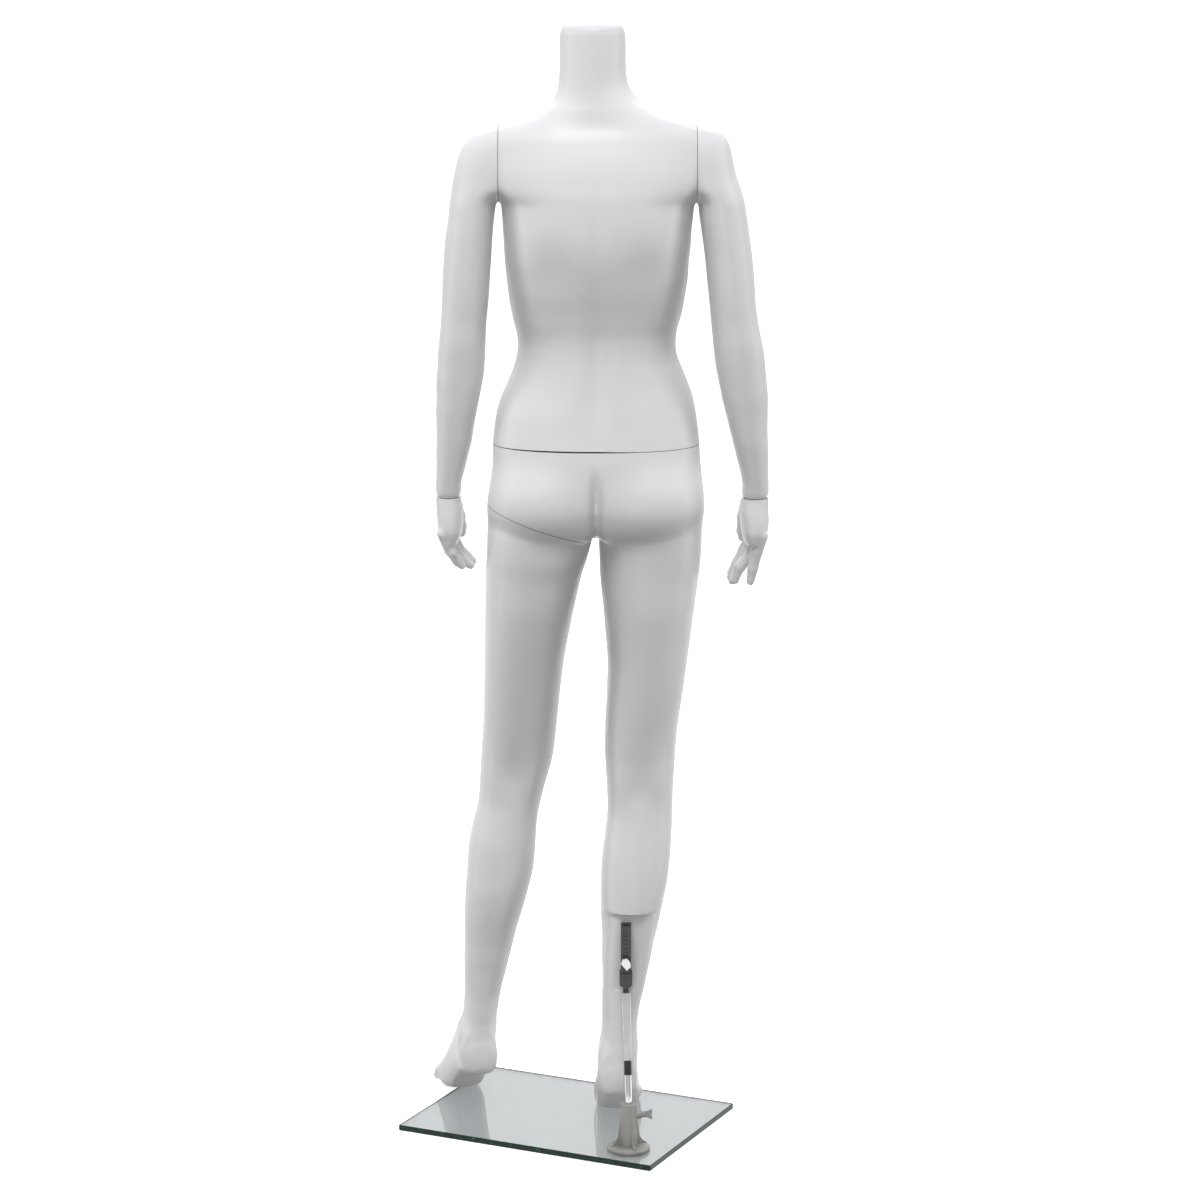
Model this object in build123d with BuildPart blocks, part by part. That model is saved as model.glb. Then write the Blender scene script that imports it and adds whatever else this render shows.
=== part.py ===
from build123d import *
import os
import math

os.makedirs("parts", exist_ok=True)

# ---------------------------------------------------------------------------
# Driving dimensions (mm). +Z up, the figure faces -Y, its left side is +X.
# ---------------------------------------------------------------------------
GLASS_L, GLASS_W, GLASS_T = 380.0, 280.0, 8.0      # base plate
GLASS_R = 2.0                                      # corner radius of the plate
GLASS_TURN = -25.33                                # turn of the plate about Z
MID = -42.0                                        # X of the body's midline
FLOOR = GLASS_T                                    # heights below are above the plate's top
WALL = 3.2                                         # shell wall
END = 4.0                                          # end wall at a seam
GAP = 0.6                                          # seam gap
WAIST_Z = 939.0                                    # waist seam
SHOULDER_X = 130.0                                 # shoulder seam planes, from the midline
WRIST_Z = 861.0                                    # wrist seams
HIP_Z, HIP_X, HIP_SLOPE = 812.0, 8.0, 0.3525       # left leg seam plane
NECK_Z = 1484.0                                    # top of the neck's wall
SOCKET_X, SOCKET_Y = -83.4, 145.0                  # axis of the base socket
SOCKET_H = 66.0
BORE_R = 5.4
POST_R = 4.5
SHOULDER_H, SHOULDER_D = 1306.0, 2.0               # axis of both shoulder fittings
RECESS_Y = 79.0                                    # flat on the back of the right calf
RECESS_LOW, RECESS_TOP = 203.0, 308.0
BRACKET_X = -38.0                                  # calf bracket, from the midline

# Sections: height, right edge, left edge, front, back, exponent
TRUNK = [
    (808, -132, 139, -74, 78, 2.2), (818, -139, 146, -82, 94, 2.25),
    (830, -142, 149, -88, 104, 2.3), (845, -142, 148, -91, 110, 2.3),
    (860, -142, 147, -95, 113, 2.3), (880, -141, 145, -99, 112, 2.3),
    (900, -139, 142, -102, 108, 2.3), (920, -137, 140, -104, 102, 2.3),
    (939, -136, 140, -105, 96, 2.3), (960, -134, 138, -105, 89, 2.3),
    (980, -131, 135, -103, 82, 2.3), (1000, -127, 129, -101, 76, 2.25),
    (1020, -120, 120, -99, 71, 2.2), (1040, -112, 112, -98, 67, 2.2),
    (1055, -106, 108, -97, 65, 2.2), (1070, -104, 106, -98, 64, 2.2),
    (1085, -105, 108, -101, 65, 2.2), (1100, -109, 112, -106, 69, 2.2),
    (1120, -114, 116, -114, 76, 2.2), (1140, -117, 119, -124, 84, 2.2),
    (1160, -120, 121, -131, 91, 2.2), (1180, -121, 123, -133, 96, 2.2),
    (1200, -123, 124, -129, 100, 2.2), (1220, -125, 125, -120, 102, 2.2),
    (1240, -127, 127, -110, 101, 2.2), (1261, -131, 131, -101, 99, 2.2),
    (1272, -146, 146, -95, 96, 2.2), (1282, -162, 163, -90, 92, 2.2),
    (1300, -174, 176, -82, 86, 2.2), (1320, -174, 176, -73, 79, 2.2),
    (1335, -169, 170, -66, 73, 2.2), (1347, -158, 156, -61, 68, 2.2),
    (1357, -139, 136, -57, 63, 2.2), (1365, -122, 117, -54, 60, 2.2),
    (1373, -97, 95, -51, 57, 2.15), (1382, -75, 77, -49, 54, 2.1),
    (1393, -56, 60, -48, 51, 2.05), (1403, -46, 54, -47, 49, 2.0),
    (1418, -39, 51, -47, 47, 2.0), (1440, -37, 50, -48, 46, 2.0),
    (1465, -37, 50, -49, 45, 2.0), (1484, -36, 49, -49, 44, 2.0),
]
RIGHT_LEG = [
    (112, -55, -2, 24, 97, 2.1), (130, -55, -3, 25, 92, 2.1),
    (145, -55, -4, 24, 89, 2.1), (160, -56, -5, 21, 86.5, 2.1),
    (180, -59, -5, 16, 84.5, 2.1), (200, -64, -6, 10, 83.5, 2.1),
    (220, -68, -6, 4.8, 83.8, 2.1), (240, -73, -5, -1.4, 84.6, 2.1),
    (260, -77, -5, -7.6, 86.4, 2.1), (280, -82, -5, -11.7, 88.3, 2.1),
    (300, -86, -4, -15.9, 89.1, 2.1), (320, -90, -4, -20.1, 86.9, 2.1),
    (345, -95, -4, -25.1, 82, 2.1), (380, -99, -6, -32.7, 72.3, 2.1),
    (410, -101, -10, -40.4, 61.6, 2.1), (440, -102, -13, -49.2, 52.8, 2.1),
    (470, -103, -12, -57, 49, 2.2), (500, -105, -10, -63, 49, 2.1),
    (530, -107, -9, -66, 52, 2.1), (560, -110, -10, -69, 57, 2.1),
    (600, -116, -12, -73, 64, 2.1), (640, -121, -13, -77, 70, 2.1),
    (680, -126, -10, -80, 76, 2.1), (720, -131, -7, -82, 82, 2.1),
    (760, -136, -3, -84, 89, 2.1), (790, -139, -2, -85, 96, 2.2),
    (820, -141, 0, -86, 105, 2.2), (850, -141, 2, -89, 110, 2.2),
]
LEFT_LEG = [
    (112, 140, 190, -68, 5, 2.1), (130, 139, 188, -65, 2, 2.1),
    (145, 137, 187, -65, 2, 2.1), (160, 135, 186, -66, 1, 2.1),
    (180, 131, 185, -69, 2, 2.1), (200, 126, 185, -72, 3, 2.1),
    (220, 121, 185, -74.2, 5.8, 2.1), (240, 116, 184, -78.4, 7.6, 2.1),
    (260, 111, 184, -81.6, 11.4, 2.1), (280, 105, 184, -83.7, 15.3, 2.1),
    (300, 99, 183, -84.9, 18.1, 2.1), (320, 94, 182, -86.1, 19.9, 2.1),
    (345, 88, 180, -88.1, 17.9, 2.1), (380, 85, 177, -90.7, 14.3, 2.1),
    (410, 83, 171, -94.4, 7.6, 2.1), (440, 77, 164, -99.2, 2.8, 2.1),
    (470, 69, 162, -103, 3, 2.2), (500, 61, 160, -104, 7, 2.1),
    (530, 57, 158, -103, 15, 2.1), (560, 54, 156, -102, 24, 2.1),
    (600, 50, 155, -101, 36, 2.1), (640, 45, 154, -99, 48, 2.1),
    (680, 38, 153, -97, 60, 2.1), (720, 30, 152, -93, 71, 2.1),
    (760, 21, 151, -90, 83, 2.1), (790, 12, 149, -87, 95, 2.2),
    (820, 5, 149, -87, 105, 2.2), (850, 1, 148, -90, 110, 2.2),
    (880, 0, 146, -94, 110, 2.2),
]
LEFT_ARM = [
    (861, 184, 218, -53, -8, 2.0), (880, 183, 218, -53, -3, 2.0),
    (900, 178, 217, -53, 3, 2.0), (920, 173, 217, -52, 9, 2.0),
    (940, 168, 216, -49, 15, 2.0), (960, 165, 216, -46, 20, 2.0),
    (980, 161, 216, -42, 25, 2.0), (1000, 157, 215, -38, 29, 2.0),
    (1020, 153, 215, -34, 33, 2.0), (1040, 150, 213, -30, 36, 2.0),
    (1060, 149, 212, -28, 39, 2.0), (1080, 148, 210, -27, 42, 2.0),
    (1100, 147, 208, -27, 44, 2.0), (1130, 144, 206, -29, 47, 2.0),
    (1160, 142, 205, -32, 49, 2.0), (1190, 140, 203, -36, 50, 2.0),
    (1220, 138, 200, -41, 51, 2.0), (1240, 136, 197, -44, 51, 2.05),
    (1259, 133, 195, -47, 51, 2.1), (1270, 124, 193, -48, 51, 2.12), (1277, 114, 192, -48, 51, 2.15),
    (1290, 106, 190, -48, 50, 2.2), (1305, 100, 187, -48, 49, 2.2),
    (1320, 96, 183, -46, 47, 2.2), (1333, 94, 177, -43, 44, 2.2),
    (1344, 94, 168, -38, 40, 2.2), (1352, 96, 157, -33, 36, 2.2),
    (1359, 99, 142, -28, 32, 2.2),
]
RIGHT_ARM = [
    (861, -230, -193, -43, 1, 2.0), (880, -230, -194, -43, 6, 2.0),
    (900, -229, -190, -42, 12, 2.0), (920, -229, -185, -41, 18, 2.0),
    (940, -228, -180, -39, 24, 2.0), (960, -227, -175, -36, 28, 2.0),
    (980, -227, -170, -33, 32, 2.0), (1000, -227, -165, -30, 36, 2.0),
    (1020, -225, -161, -27, 39, 2.0), (1040, -223, -157, -25, 42, 2.0),
    (1060, -221, -154, -24, 44, 2.0), (1080, -217, -152, -24, 46, 2.0),
    (1100, -213, -150, -25, 47, 2.0), (1130, -209, -147, -28, 49, 2.0),
    (1160, -207, -144, -32, 50, 2.0), (1190, -204, -141, -36, 50, 2.0),
    (1220, -200, -137, -41, 51, 2.0), (1240, -197, -134, -44, 51, 2.05),
    (1259, -194, -132, -47, 51, 2.1), (1270, -191, -123, -48, 51, 2.12), (1277, -189, -114, -48, 51, 2.15),
    (1290, -184, -106, -48, 50, 2.2), (1305, -180, -100, -48, 49, 2.2),
    (1320, -177, -96, -46, 47, 2.2), (1333, -174, -94, -43, 44, 2.2),
    (1344, -169, -94, -38, 40, 2.2), (1352, -160, -96, -33, 36, 2.2),
    (1359, -148, -99, -28, 32, 2.2),
]
LEFT_PALM = [
    (796, 188, 209, -76, -9, 2.4), (806, 185, 213, -78, -5, 2.4),
    (816, 182, 217, -77, -1, 2.3), (832, 182, 217, -70, -2, 2.2),
    (846, 182, 218, -61, -5, 2.1), (860.4, 184, 218, -53, -8, 2.0),
]
RIGHT_PALM = [
    (797, -222, -199, -62, 4, 2.4), (806, -226, -196, -66, 8, 2.4),
    (816, -230, -193, -66, 11, 2.3), (832, -231, -192, -59, 9, 2.2),
    (846, -230, -191, -51, 5, 2.1), (860.4, -230, -193, -43, 1, 2.0),
]
# Fingers: root x, y, z, tip x, y, z, root radius, tip radius
LEFT_FINGERS = [
    (199, -62, 803, 169.5, -79, 758, 8.8, 5.6), (202, -46, 803, 170.5, -62, 756, 9.0, 5.8),
    (205, -29, 803, 182, -40, 760, 8.8, 5.6), (207, -13, 806, 193, -21, 777, 8.0, 5.2),
    (194, -62, 838, 186, -88, 800, 11.0, 7.0),
]
RIGHT_FINGERS = [
    (-211, -54, 803, -180, -70, 741, 8.8, 5.6), (-213, -37, 803, -184, -52, 737, 9.0, 5.8),
    (-214, -20, 803, -187, -33, 741, 8.8, 5.6), (-218, -3, 808, -205.5, -14, 742, 8.2, 5.4),
    (-203, -50, 838, -197, -76, 796, 11.0, 7.0),
]
# Feet: distance from the back of the heel, half width, underside, top
FOOT = [
    (0.6, 9, 66, 86), (5, 19, 60, 100), (14, 25.5, 57, 116), (30, 27.5, 56, 130),
    (50, 27, 50, 134), (75, 27.5, 34, 118), (100, 29, 16, 92), (120, 31, 4, 70),
    (131, 32, 0.8, 60), (150, 32, 0.6, 44), (175, 29, 0.8, 31), (192, 22, 2, 22),
    (204, 10, 6, 15),
]
RIGHT_HEEL, RIGHT_TOE_OUT = (-27.0, 107.0), 0.0
LEFT_HEEL, LEFT_TOE_OUT = (160.0, 13.5), 14.0


def ring(s, inset, count=18):
    """Closed outline of one body section, drawn on its own height."""
    z, right, left, front, back, power = s
    cx, half = MID + (left + right) / 2, (left - right) / 2 - inset
    cy = (front + back) / 2
    deep = (back - front) / 2 - inset
    pts = []
    for i in range(count):
        a = 2 * math.pi * i / count
        c, q = math.cos(a), math.sin(a)
        pts.append((cx + half * math.copysign(abs(c) ** (2 / power), c),
                    cy + deep * math.copysign(abs(q) ** (2 / power), q)))
    return pts


def section(s, inset=0.0, drop=0.0):
    """One horizontal section sketch of a limb or of the trunk."""
    with BuildSketch(Plane.XY.offset(FLOOR + s[0] - drop)) as outline:
        with BuildLine():
            Spline(*ring(s, inset), periodic=True)
        make_face()
    return outline.sketch


def between(table, step):
    """The table with extra sections in between, on a smooth curve through the given ones."""
    out = []
    for i in range(len(table) - 1):
        a, b = table[i], table[i + 1]
        before, after = table[max(i - 1, 0)], table[min(i + 2, len(table) - 1)]
        parts = max(1, round((b[0] - a[0]) / step))
        for k in range(parts):
            t, h = k / parts, b[0] - a[0]
            row = [a[0] + t * h]
            for j in range(1, len(a)):
                slope = (b[j] - a[j]) / h
                low = (a[j] - before[j]) / (a[0] - before[0]) if i else slope
                high = (after[j] - b[j]) / (after[0] - b[0]) if i < len(table) - 2 else slope
                m0 = 0.0 if low * slope <= 0 else 2 * low * slope / (low + slope)
                m1 = 0.0 if high * slope <= 0 else 2 * high * slope / (high + slope)
                row.append((2 * t**3 - 3 * t**2 + 1) * a[j] + (t**3 - 2 * t**2 + t) * h * m0
                           + (3 * t**2 - 2 * t**3) * b[j] + (t**3 - t**2) * h * m1)
            out.append(tuple(row))
    return out + [tuple(table[-1])]


def foot_section(s, heel, turn, inset=0.0):
    """One upright section across a foot, square to the foot's length."""
    run, half, low, top = s
    dx, dy = math.sin(math.radians(turn)), -math.cos(math.radians(turn))
    mid = (low + top) / 2
    at = Plane(origin=(MID + heel[0] + run * dx, heel[1] + run * dy, FLOOR + mid),
               x_dir=(-dy, dx, 0), z_dir=(dx, dy, 0))
    pts = []
    for i in range(16):
        a = 2 * math.pi * i / 16
        c, q = math.cos(a), math.sin(a)
        power = 3.0 if q < 0 else 2.0
        pts.append(((half - inset) * math.copysign(abs(c) ** (2 / power), c),
                    ((top - low) / 2 - inset) * math.copysign(abs(q) ** (2 / power), q)))
    with BuildSketch(at) as outline:
        with BuildLine():
            Spline(*pts, periodic=True)
        make_face()
    return outline.sketch


def finger(f):
    """Root circle, tip circle and tip centre of a tapered finger."""
    root = Vector(MID + f[0], f[1], FLOOR + f[2])
    tip = Vector(MID + f[3], f[4], FLOOR + f[5])
    way = (tip - root).normalized()
    end = root + way * ((tip - root).length - f[7])
    with BuildSketch(Plane(origin=root, z_dir=way)) as thick:
        Circle(f[6])
    with BuildSketch(Plane(origin=end, z_dir=way)) as thin:
        Circle(f[7])
    return [thick.sketch, thin.sketch], end


def hip_plane(lift):
    """The left leg's seam plane, moved along its normal."""
    n = Vector(-HIP_SLOPE, 0, 1).normalized()
    return Plane(origin=Vector(MID + HIP_X, 0, FLOOR + HIP_Z) + n * lift,
                 x_dir=(0, 1, 0), z_dir=n)


# ---------------------------------------------------------------------------
# Torso: neck, shoulders and chest in one shell, open at the neck
# ---------------------------------------------------------------------------
with BuildPart() as torso_core:
    loft([section(s, WALL, 4.0) for s in between(TRUNK, 18) if WAIST_Z + 8 < s[0] <= 1404]
         + [section(s, WALL) for s in between(TRUNK, 18) if s[0] > 1404]
         + [section((NECK_Z + 8, -36, 49, -49, 44, 2.0), WALL)], ruled=True)
    with Locations((MID + SHOULDER_X - END - GAP / 2, 0, FLOOR + 1150)):
        Box(120, 400, 400, align=(Align.MIN, Align.CENTER, Align.MIN), mode=Mode.SUBTRACT)
    with Locations((MID - SHOULDER_X + END + GAP / 2, 0, FLOOR + 1150)):
        Box(120, 400, 400, align=(Align.MAX, Align.CENTER, Align.MIN), mode=Mode.SUBTRACT)

with BuildPart() as torso_shell:
    loft([section((WAIST_Z + GAP / 2,) + s[1:] if s[0] == WAIST_Z else s)
          for s in between(TRUNK, 18) if s[0] >= WAIST_Z], ruled=True)
    with Locations((MID + SHOULDER_X - GAP / 2, 0, FLOOR + 1150)):
        Box(120, 400, 400, align=(Align.MIN, Align.CENTER, Align.MIN), mode=Mode.SUBTRACT)
    with Locations((MID - SHOULDER_X + GAP / 2, 0, FLOOR + 1150)):
        Box(120, 400, 400, align=(Align.MAX, Align.CENTER, Align.MIN), mode=Mode.SUBTRACT)
    add(torso_core.part, mode=Mode.SUBTRACT)
    # opening for the waist fitting
    with BuildSketch(Plane.XY.offset(FLOOR + WAIST_Z - 2)):
        with Locations((MID, 0)):
            Circle(40)
    extrude(amount=30, mode=Mode.SUBTRACT)
    # openings for the shoulder fittings
    with BuildSketch(Plane.YZ.offset(MID - 150)):
        with Locations((SHOULDER_D, FLOOR + SHOULDER_H)):
            Circle(26)
    extrude(amount=300, mode=Mode.SUBTRACT)
torso_shell.part.label = "torso_shell"
export_step(torso_shell.part, "parts/torso_shell.step")

with BuildPart() as neck_cap:
    loft([section(s) for s in (
        (NECK_Z, -36, 49, -49, 44, 2.0), (NECK_Z + 3, -35.3, 48.3, -48.3, 43.3, 2.0),
        (NECK_Z + 6, -32.5, 45.5, -45.5, 40.5, 2.0), (NECK_Z + 8, -27, 40, -40, 35, 2.0),
        (NECK_Z + 9.2, -18, 31, -31, 26, 2.0))], ruled=True)
    # spigot inside the neck
    with BuildSketch(Plane.XY.offset(FLOOR + NECK_Z - 14)):
        with Locations((MID + 6.5, -2)):
            Ellipse(36, 40)
            Ellipse(33, 37, mode=Mode.SUBTRACT)
    extrude(amount=14)
neck_cap.part.label = "neck_cap"
export_step(neck_cap.part, "parts/neck_cap.step")

# ---------------------------------------------------------------------------
# Lower body: hips and the whole right leg in one shell
# ---------------------------------------------------------------------------
with BuildPart() as hip_core:
    loft([section(s, WALL) for s in between(TRUNK, 18) if 819 <= s[0] <= WAIST_Z - END - 2]
         + [section((WAIST_Z - END - GAP / 2, -136, 140, -105, 97, 2.3), WALL)], ruled=True)
    split(bisect_by=hip_plane(END + GAP / 2), keep=Keep.TOP)

with BuildPart() as right_leg_core:
    loft([section(s, WALL) for s in between(RIGHT_LEG, 30) if 130 <= s[0] <= 850], ruled=True)
    # thicker wall behind the flat on the calf
    with BuildSketch(Plane.XY.offset(FLOOR + RECESS_LOW - 12)):
        with Locations((MID + BRACKET_X, RECESS_Y - WALL - 0.8 + 40)):
            Rectangle(110, 80)
    extrude(amount=RECESS_TOP - RECESS_LOW + 20, mode=Mode.SUBTRACT)

with BuildPart() as lower_body_shell:
    loft([section(s) for s in between(TRUNK, 18) if s[0] < WAIST_Z - 4]
         + [section((WAIST_Z - GAP / 2, -136, 140, -105, 96, 2.3))], ruled=True)
    # the left leg's seam
    with BuildSketch(Plane.XZ.offset(-200)):
        Polygon((MID + 4, FLOOR + 780), (MID + 4, FLOOR + HIP_Z + HIP_SLOPE * (4 - HIP_X) + GAP / 2),
                (MID + 190, FLOOR + HIP_Z + HIP_SLOPE * (190 - HIP_X) + GAP / 2), (MID + 190, FLOOR + 780), align=None)
    extrude(amount=400, mode=Mode.SUBTRACT)
    loft([section(s) for s in between(RIGHT_LEG, 30)], ruled=True)
    loft([foot_section(s, RIGHT_HEEL, RIGHT_TOE_OUT) for s in FOOT])
    add(hip_core.part, mode=Mode.SUBTRACT)
    add(right_leg_core.part, mode=Mode.SUBTRACT)
    # flat on the back of the calf, ending in a ledge above
    with BuildSketch(Plane.XY.offset(FLOOR + RECESS_LOW)):
        with Locations((MID + BRACKET_X, RECESS_Y + 20)):
            Rectangle(66, 40)
    extrude(amount=RECESS_TOP - RECESS_LOW, mode=Mode.SUBTRACT)
    # opening for the waist fitting
    with BuildSketch(Plane.XY.offset(FLOOR + WAIST_Z - 8)):
        with Locations((MID, 0)):
            Circle(40)
    extrude(amount=20, mode=Mode.SUBTRACT)
    # opening for the hip fitting
    with BuildSketch(hip_plane(-10)):
        with Locations((8, -70)):
            Circle(34)
    extrude(amount=30, mode=Mode.SUBTRACT)
    # screw holes in the calf
    with BuildSketch(Plane.XZ.offset(-(RECESS_Y + 1))):
        with Locations((MID + BRACKET_X, FLOOR + 224), (MID + BRACKET_X, FLOOR + 294)):
            Circle(2)
    extrude(amount=12, mode=Mode.SUBTRACT)
lower_body_shell.part.label = "lower_body_shell"
export_step(lower_body_shell.part, "parts/lower_body_shell.step")

# ---------------------------------------------------------------------------
# Left leg with its foot
# ---------------------------------------------------------------------------
with BuildPart() as left_leg_core:
    loft([section(s, WALL) for s in between(LEFT_LEG, 30) if s[0] >= 130], ruled=True)
    split(bisect_by=hip_plane(-END - GAP / 2), keep=Keep.BOTTOM)

with BuildPart() as left_leg_shell:
    loft([section(s) for s in between(LEFT_LEG, 30)], ruled=True)
    split(bisect_by=hip_plane(-GAP / 2), keep=Keep.BOTTOM)
    loft([foot_section(s, LEFT_HEEL, LEFT_TOE_OUT) for s in FOOT])
    add(left_leg_core.part, mode=Mode.SUBTRACT)
    with BuildSketch(hip_plane(-10)):
        with Locations((8, -70)):
            Circle(34)
    extrude(amount=20, mode=Mode.SUBTRACT)
left_leg_shell.part.label = "left_leg_shell"
export_step(left_leg_shell.part, "parts/left_leg_shell.step")

# ---------------------------------------------------------------------------
# Arms, each open towards its shoulder and wrist fitting
# ---------------------------------------------------------------------------
with BuildPart() as left_arm_core:
    loft([section(s, WALL, 3.0) for s in between(LEFT_ARM, 24) if s[0] > WRIST_Z + 10], ruled=True)
    split(bisect_by=Plane(origin=(MID + SHOULDER_X + END + GAP / 2, 0, 0), z_dir=(1, 0, 0)), keep=Keep.TOP)

with BuildPart() as left_arm_shell:
    loft([section((s[0] + GAP / 2,) + s[1:] if s[0] == WRIST_Z else s)
          for s in between(LEFT_ARM, 24)], ruled=True)
    split(bisect_by=Plane(origin=(MID + SHOULDER_X + GAP / 2, 0, 0), z_dir=(1, 0, 0)), keep=Keep.TOP)
    add(left_arm_core.part, mode=Mode.SUBTRACT)
    with BuildSketch(Plane.YZ.offset(MID + SHOULDER_X - 2)):
        with Locations((SHOULDER_D, FLOOR + SHOULDER_H)):
            Circle(26)
    extrude(amount=9, mode=Mode.SUBTRACT)
    with BuildSketch(Plane.XY.offset(FLOOR + WRIST_Z - 3)):
        with Locations((MID + 201, -30)):
            Circle(9)
    extrude(amount=32, mode=Mode.SUBTRACT)
left_arm_shell.part.label = "left_arm_shell"
export_step(left_arm_shell.part, "parts/left_arm_shell.step")

with BuildPart() as right_arm_core:
    loft([section(s, WALL, 3.0) for s in between(RIGHT_ARM, 24) if s[0] > WRIST_Z + 10], ruled=True)
    split(bisect_by=Plane(origin=(MID - SHOULDER_X - END - GAP / 2, 0, 0), z_dir=(1, 0, 0)), keep=Keep.BOTTOM)

with BuildPart() as right_arm_shell:
    loft([section((s[0] + GAP / 2,) + s[1:] if s[0] == WRIST_Z else s)
          for s in between(RIGHT_ARM, 24)], ruled=True)
    split(bisect_by=Plane(origin=(MID - SHOULDER_X - GAP / 2, 0, 0), z_dir=(1, 0, 0)), keep=Keep.BOTTOM)
    add(right_arm_core.part, mode=Mode.SUBTRACT)
    with BuildSketch(Plane.YZ.offset(MID - SHOULDER_X - 7)):
        with Locations((SHOULDER_D, FLOOR + SHOULDER_H)):
            Circle(26)
    extrude(amount=9, mode=Mode.SUBTRACT)
    with BuildSketch(Plane.XY.offset(FLOOR + WRIST_Z - 3)):
        with Locations((MID - 211.5, -21)):
            Circle(9)
    extrude(amount=32, mode=Mode.SUBTRACT)
right_arm_shell.part.label = "right_arm_shell"
export_step(right_arm_shell.part, "parts/right_arm_shell.step")

# ---------------------------------------------------------------------------
# Hands
# ---------------------------------------------------------------------------
with BuildPart() as left_hand:
    loft([section(s) for s in between(LEFT_PALM, 14)], ruled=True)
    for f in LEFT_FINGERS:
        rings, end = finger(f)
        loft(rings)
        with Locations(end, rings[0].center()):
            Sphere(f[7])
    # hole for the wrist pin
    with Locations((MID + 201, -30, FLOOR + WRIST_Z - 12)):
        Cylinder(4, 30, mode=Mode.SUBTRACT)
left_hand.part.label = "left_hand"
export_step(left_hand.part, "parts/left_hand.step")

with BuildPart() as right_hand:
    loft([section(s) for s in between(RIGHT_PALM, 14)], ruled=True)
    for f in RIGHT_FINGERS:
        rings, end = finger(f)
        loft(rings)
        with Locations(end, rings[0].center()):
            Sphere(f[7])
    with Locations((MID - 211.5, -21, FLOOR + WRIST_Z - 12)):
        Cylinder(4, 30, mode=Mode.SUBTRACT)
right_hand.part.label = "right_hand"
export_step(right_hand.part, "parts/right_hand.step")

# ---------------------------------------------------------------------------
# Wrist fittings: a bush in the arm, a pin in the hand
# ---------------------------------------------------------------------------
with BuildPart() as left_wrist_bush:
    with Locations((MID + 201, -30, FLOOR + WRIST_Z + GAP / 2)):
        Cylinder(9, 22, align=(Align.CENTER, Align.CENTER, Align.MIN))
        Cylinder(4.4, 17, align=(Align.CENTER, Align.CENTER, Align.MIN), mode=Mode.SUBTRACT)
left_wrist_bush.part.label = "left_wrist_bush"
export_step(left_wrist_bush.part, "parts/left_wrist_bush.step")

with BuildPart() as left_wrist_pin:
    with Locations((MID + 201, -30, FLOOR + WRIST_Z - 27)):
        Cylinder(4, 42, align=(Align.CENTER, Align.CENTER, Align.MIN))
left_wrist_pin.part.label = "left_wrist_pin"
export_step(left_wrist_pin.part, "parts/left_wrist_pin.step")

with BuildPart() as right_wrist_bush:
    with Locations((MID - 211.5, -21, FLOOR + WRIST_Z + GAP / 2)):
        Cylinder(9, 22, align=(Align.CENTER, Align.CENTER, Align.MIN))
        Cylinder(4.4, 17, align=(Align.CENTER, Align.CENTER, Align.MIN), mode=Mode.SUBTRACT)
right_wrist_bush.part.label = "right_wrist_bush"
export_step(right_wrist_bush.part, "parts/right_wrist_bush.step")

with BuildPart() as right_wrist_pin:
    with Locations((MID - 211.5, -21, FLOOR + WRIST_Z - 27)):
        Cylinder(4, 42, align=(Align.CENTER, Align.CENTER, Align.MIN))
right_wrist_pin.part.label = "right_wrist_pin"
export_step(right_wrist_pin.part, "parts/right_wrist_pin.step")

# ---------------------------------------------------------------------------
# Shoulder fittings: a socket plate in the torso, a stud plate in the arm
# ---------------------------------------------------------------------------
with BuildPart() as left_shoulder_socket:
    with BuildSketch(Plane.YZ.offset(MID + SHOULDER_X - GAP / 2)):
        with Locations((SHOULDER_D, FLOOR + SHOULDER_H)):
            Circle(26)
            Circle(10.4, mode=Mode.SUBTRACT)
    extrude(amount=-END)
    with BuildSketch(Plane.YZ.offset(MID + SHOULDER_X - GAP / 2 - END)):
        with Locations((SHOULDER_D, FLOOR + SHOULDER_H)):
            Circle(16)
            Circle(10.4, mode=Mode.SUBTRACT)
    extrude(amount=-26)
left_shoulder_socket.part.label = "left_shoulder_socket"
export_step(left_shoulder_socket.part, "parts/left_shoulder_socket.step")

with BuildPart() as left_shoulder_stud:
    with BuildSketch(Plane.YZ.offset(MID + SHOULDER_X + GAP / 2)):
        with Locations((SHOULDER_D, FLOOR + SHOULDER_H)):
            Circle(26)
    extrude(amount=END)
    with BuildSketch(Plane.YZ.offset(MID + SHOULDER_X + GAP / 2)):
        with Locations((SHOULDER_D, FLOOR + SHOULDER_H)):
            Circle(10)
    extrude(amount=-26)
left_shoulder_stud.part.label = "left_shoulder_stud"
export_step(left_shoulder_stud.part, "parts/left_shoulder_stud.step")

with BuildPart() as right_shoulder_socket:
    with BuildSketch(Plane.YZ.offset(MID - SHOULDER_X + GAP / 2)):
        with Locations((SHOULDER_D, FLOOR + SHOULDER_H)):
            Circle(26)
            Circle(10.4, mode=Mode.SUBTRACT)
    extrude(amount=END)
    with BuildSketch(Plane.YZ.offset(MID - SHOULDER_X + GAP / 2 + END)):
        with Locations((SHOULDER_D, FLOOR + SHOULDER_H)):
            Circle(16)
            Circle(10.4, mode=Mode.SUBTRACT)
    extrude(amount=26)
right_shoulder_socket.part.label = "right_shoulder_socket"
export_step(right_shoulder_socket.part, "parts/right_shoulder_socket.step")

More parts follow.
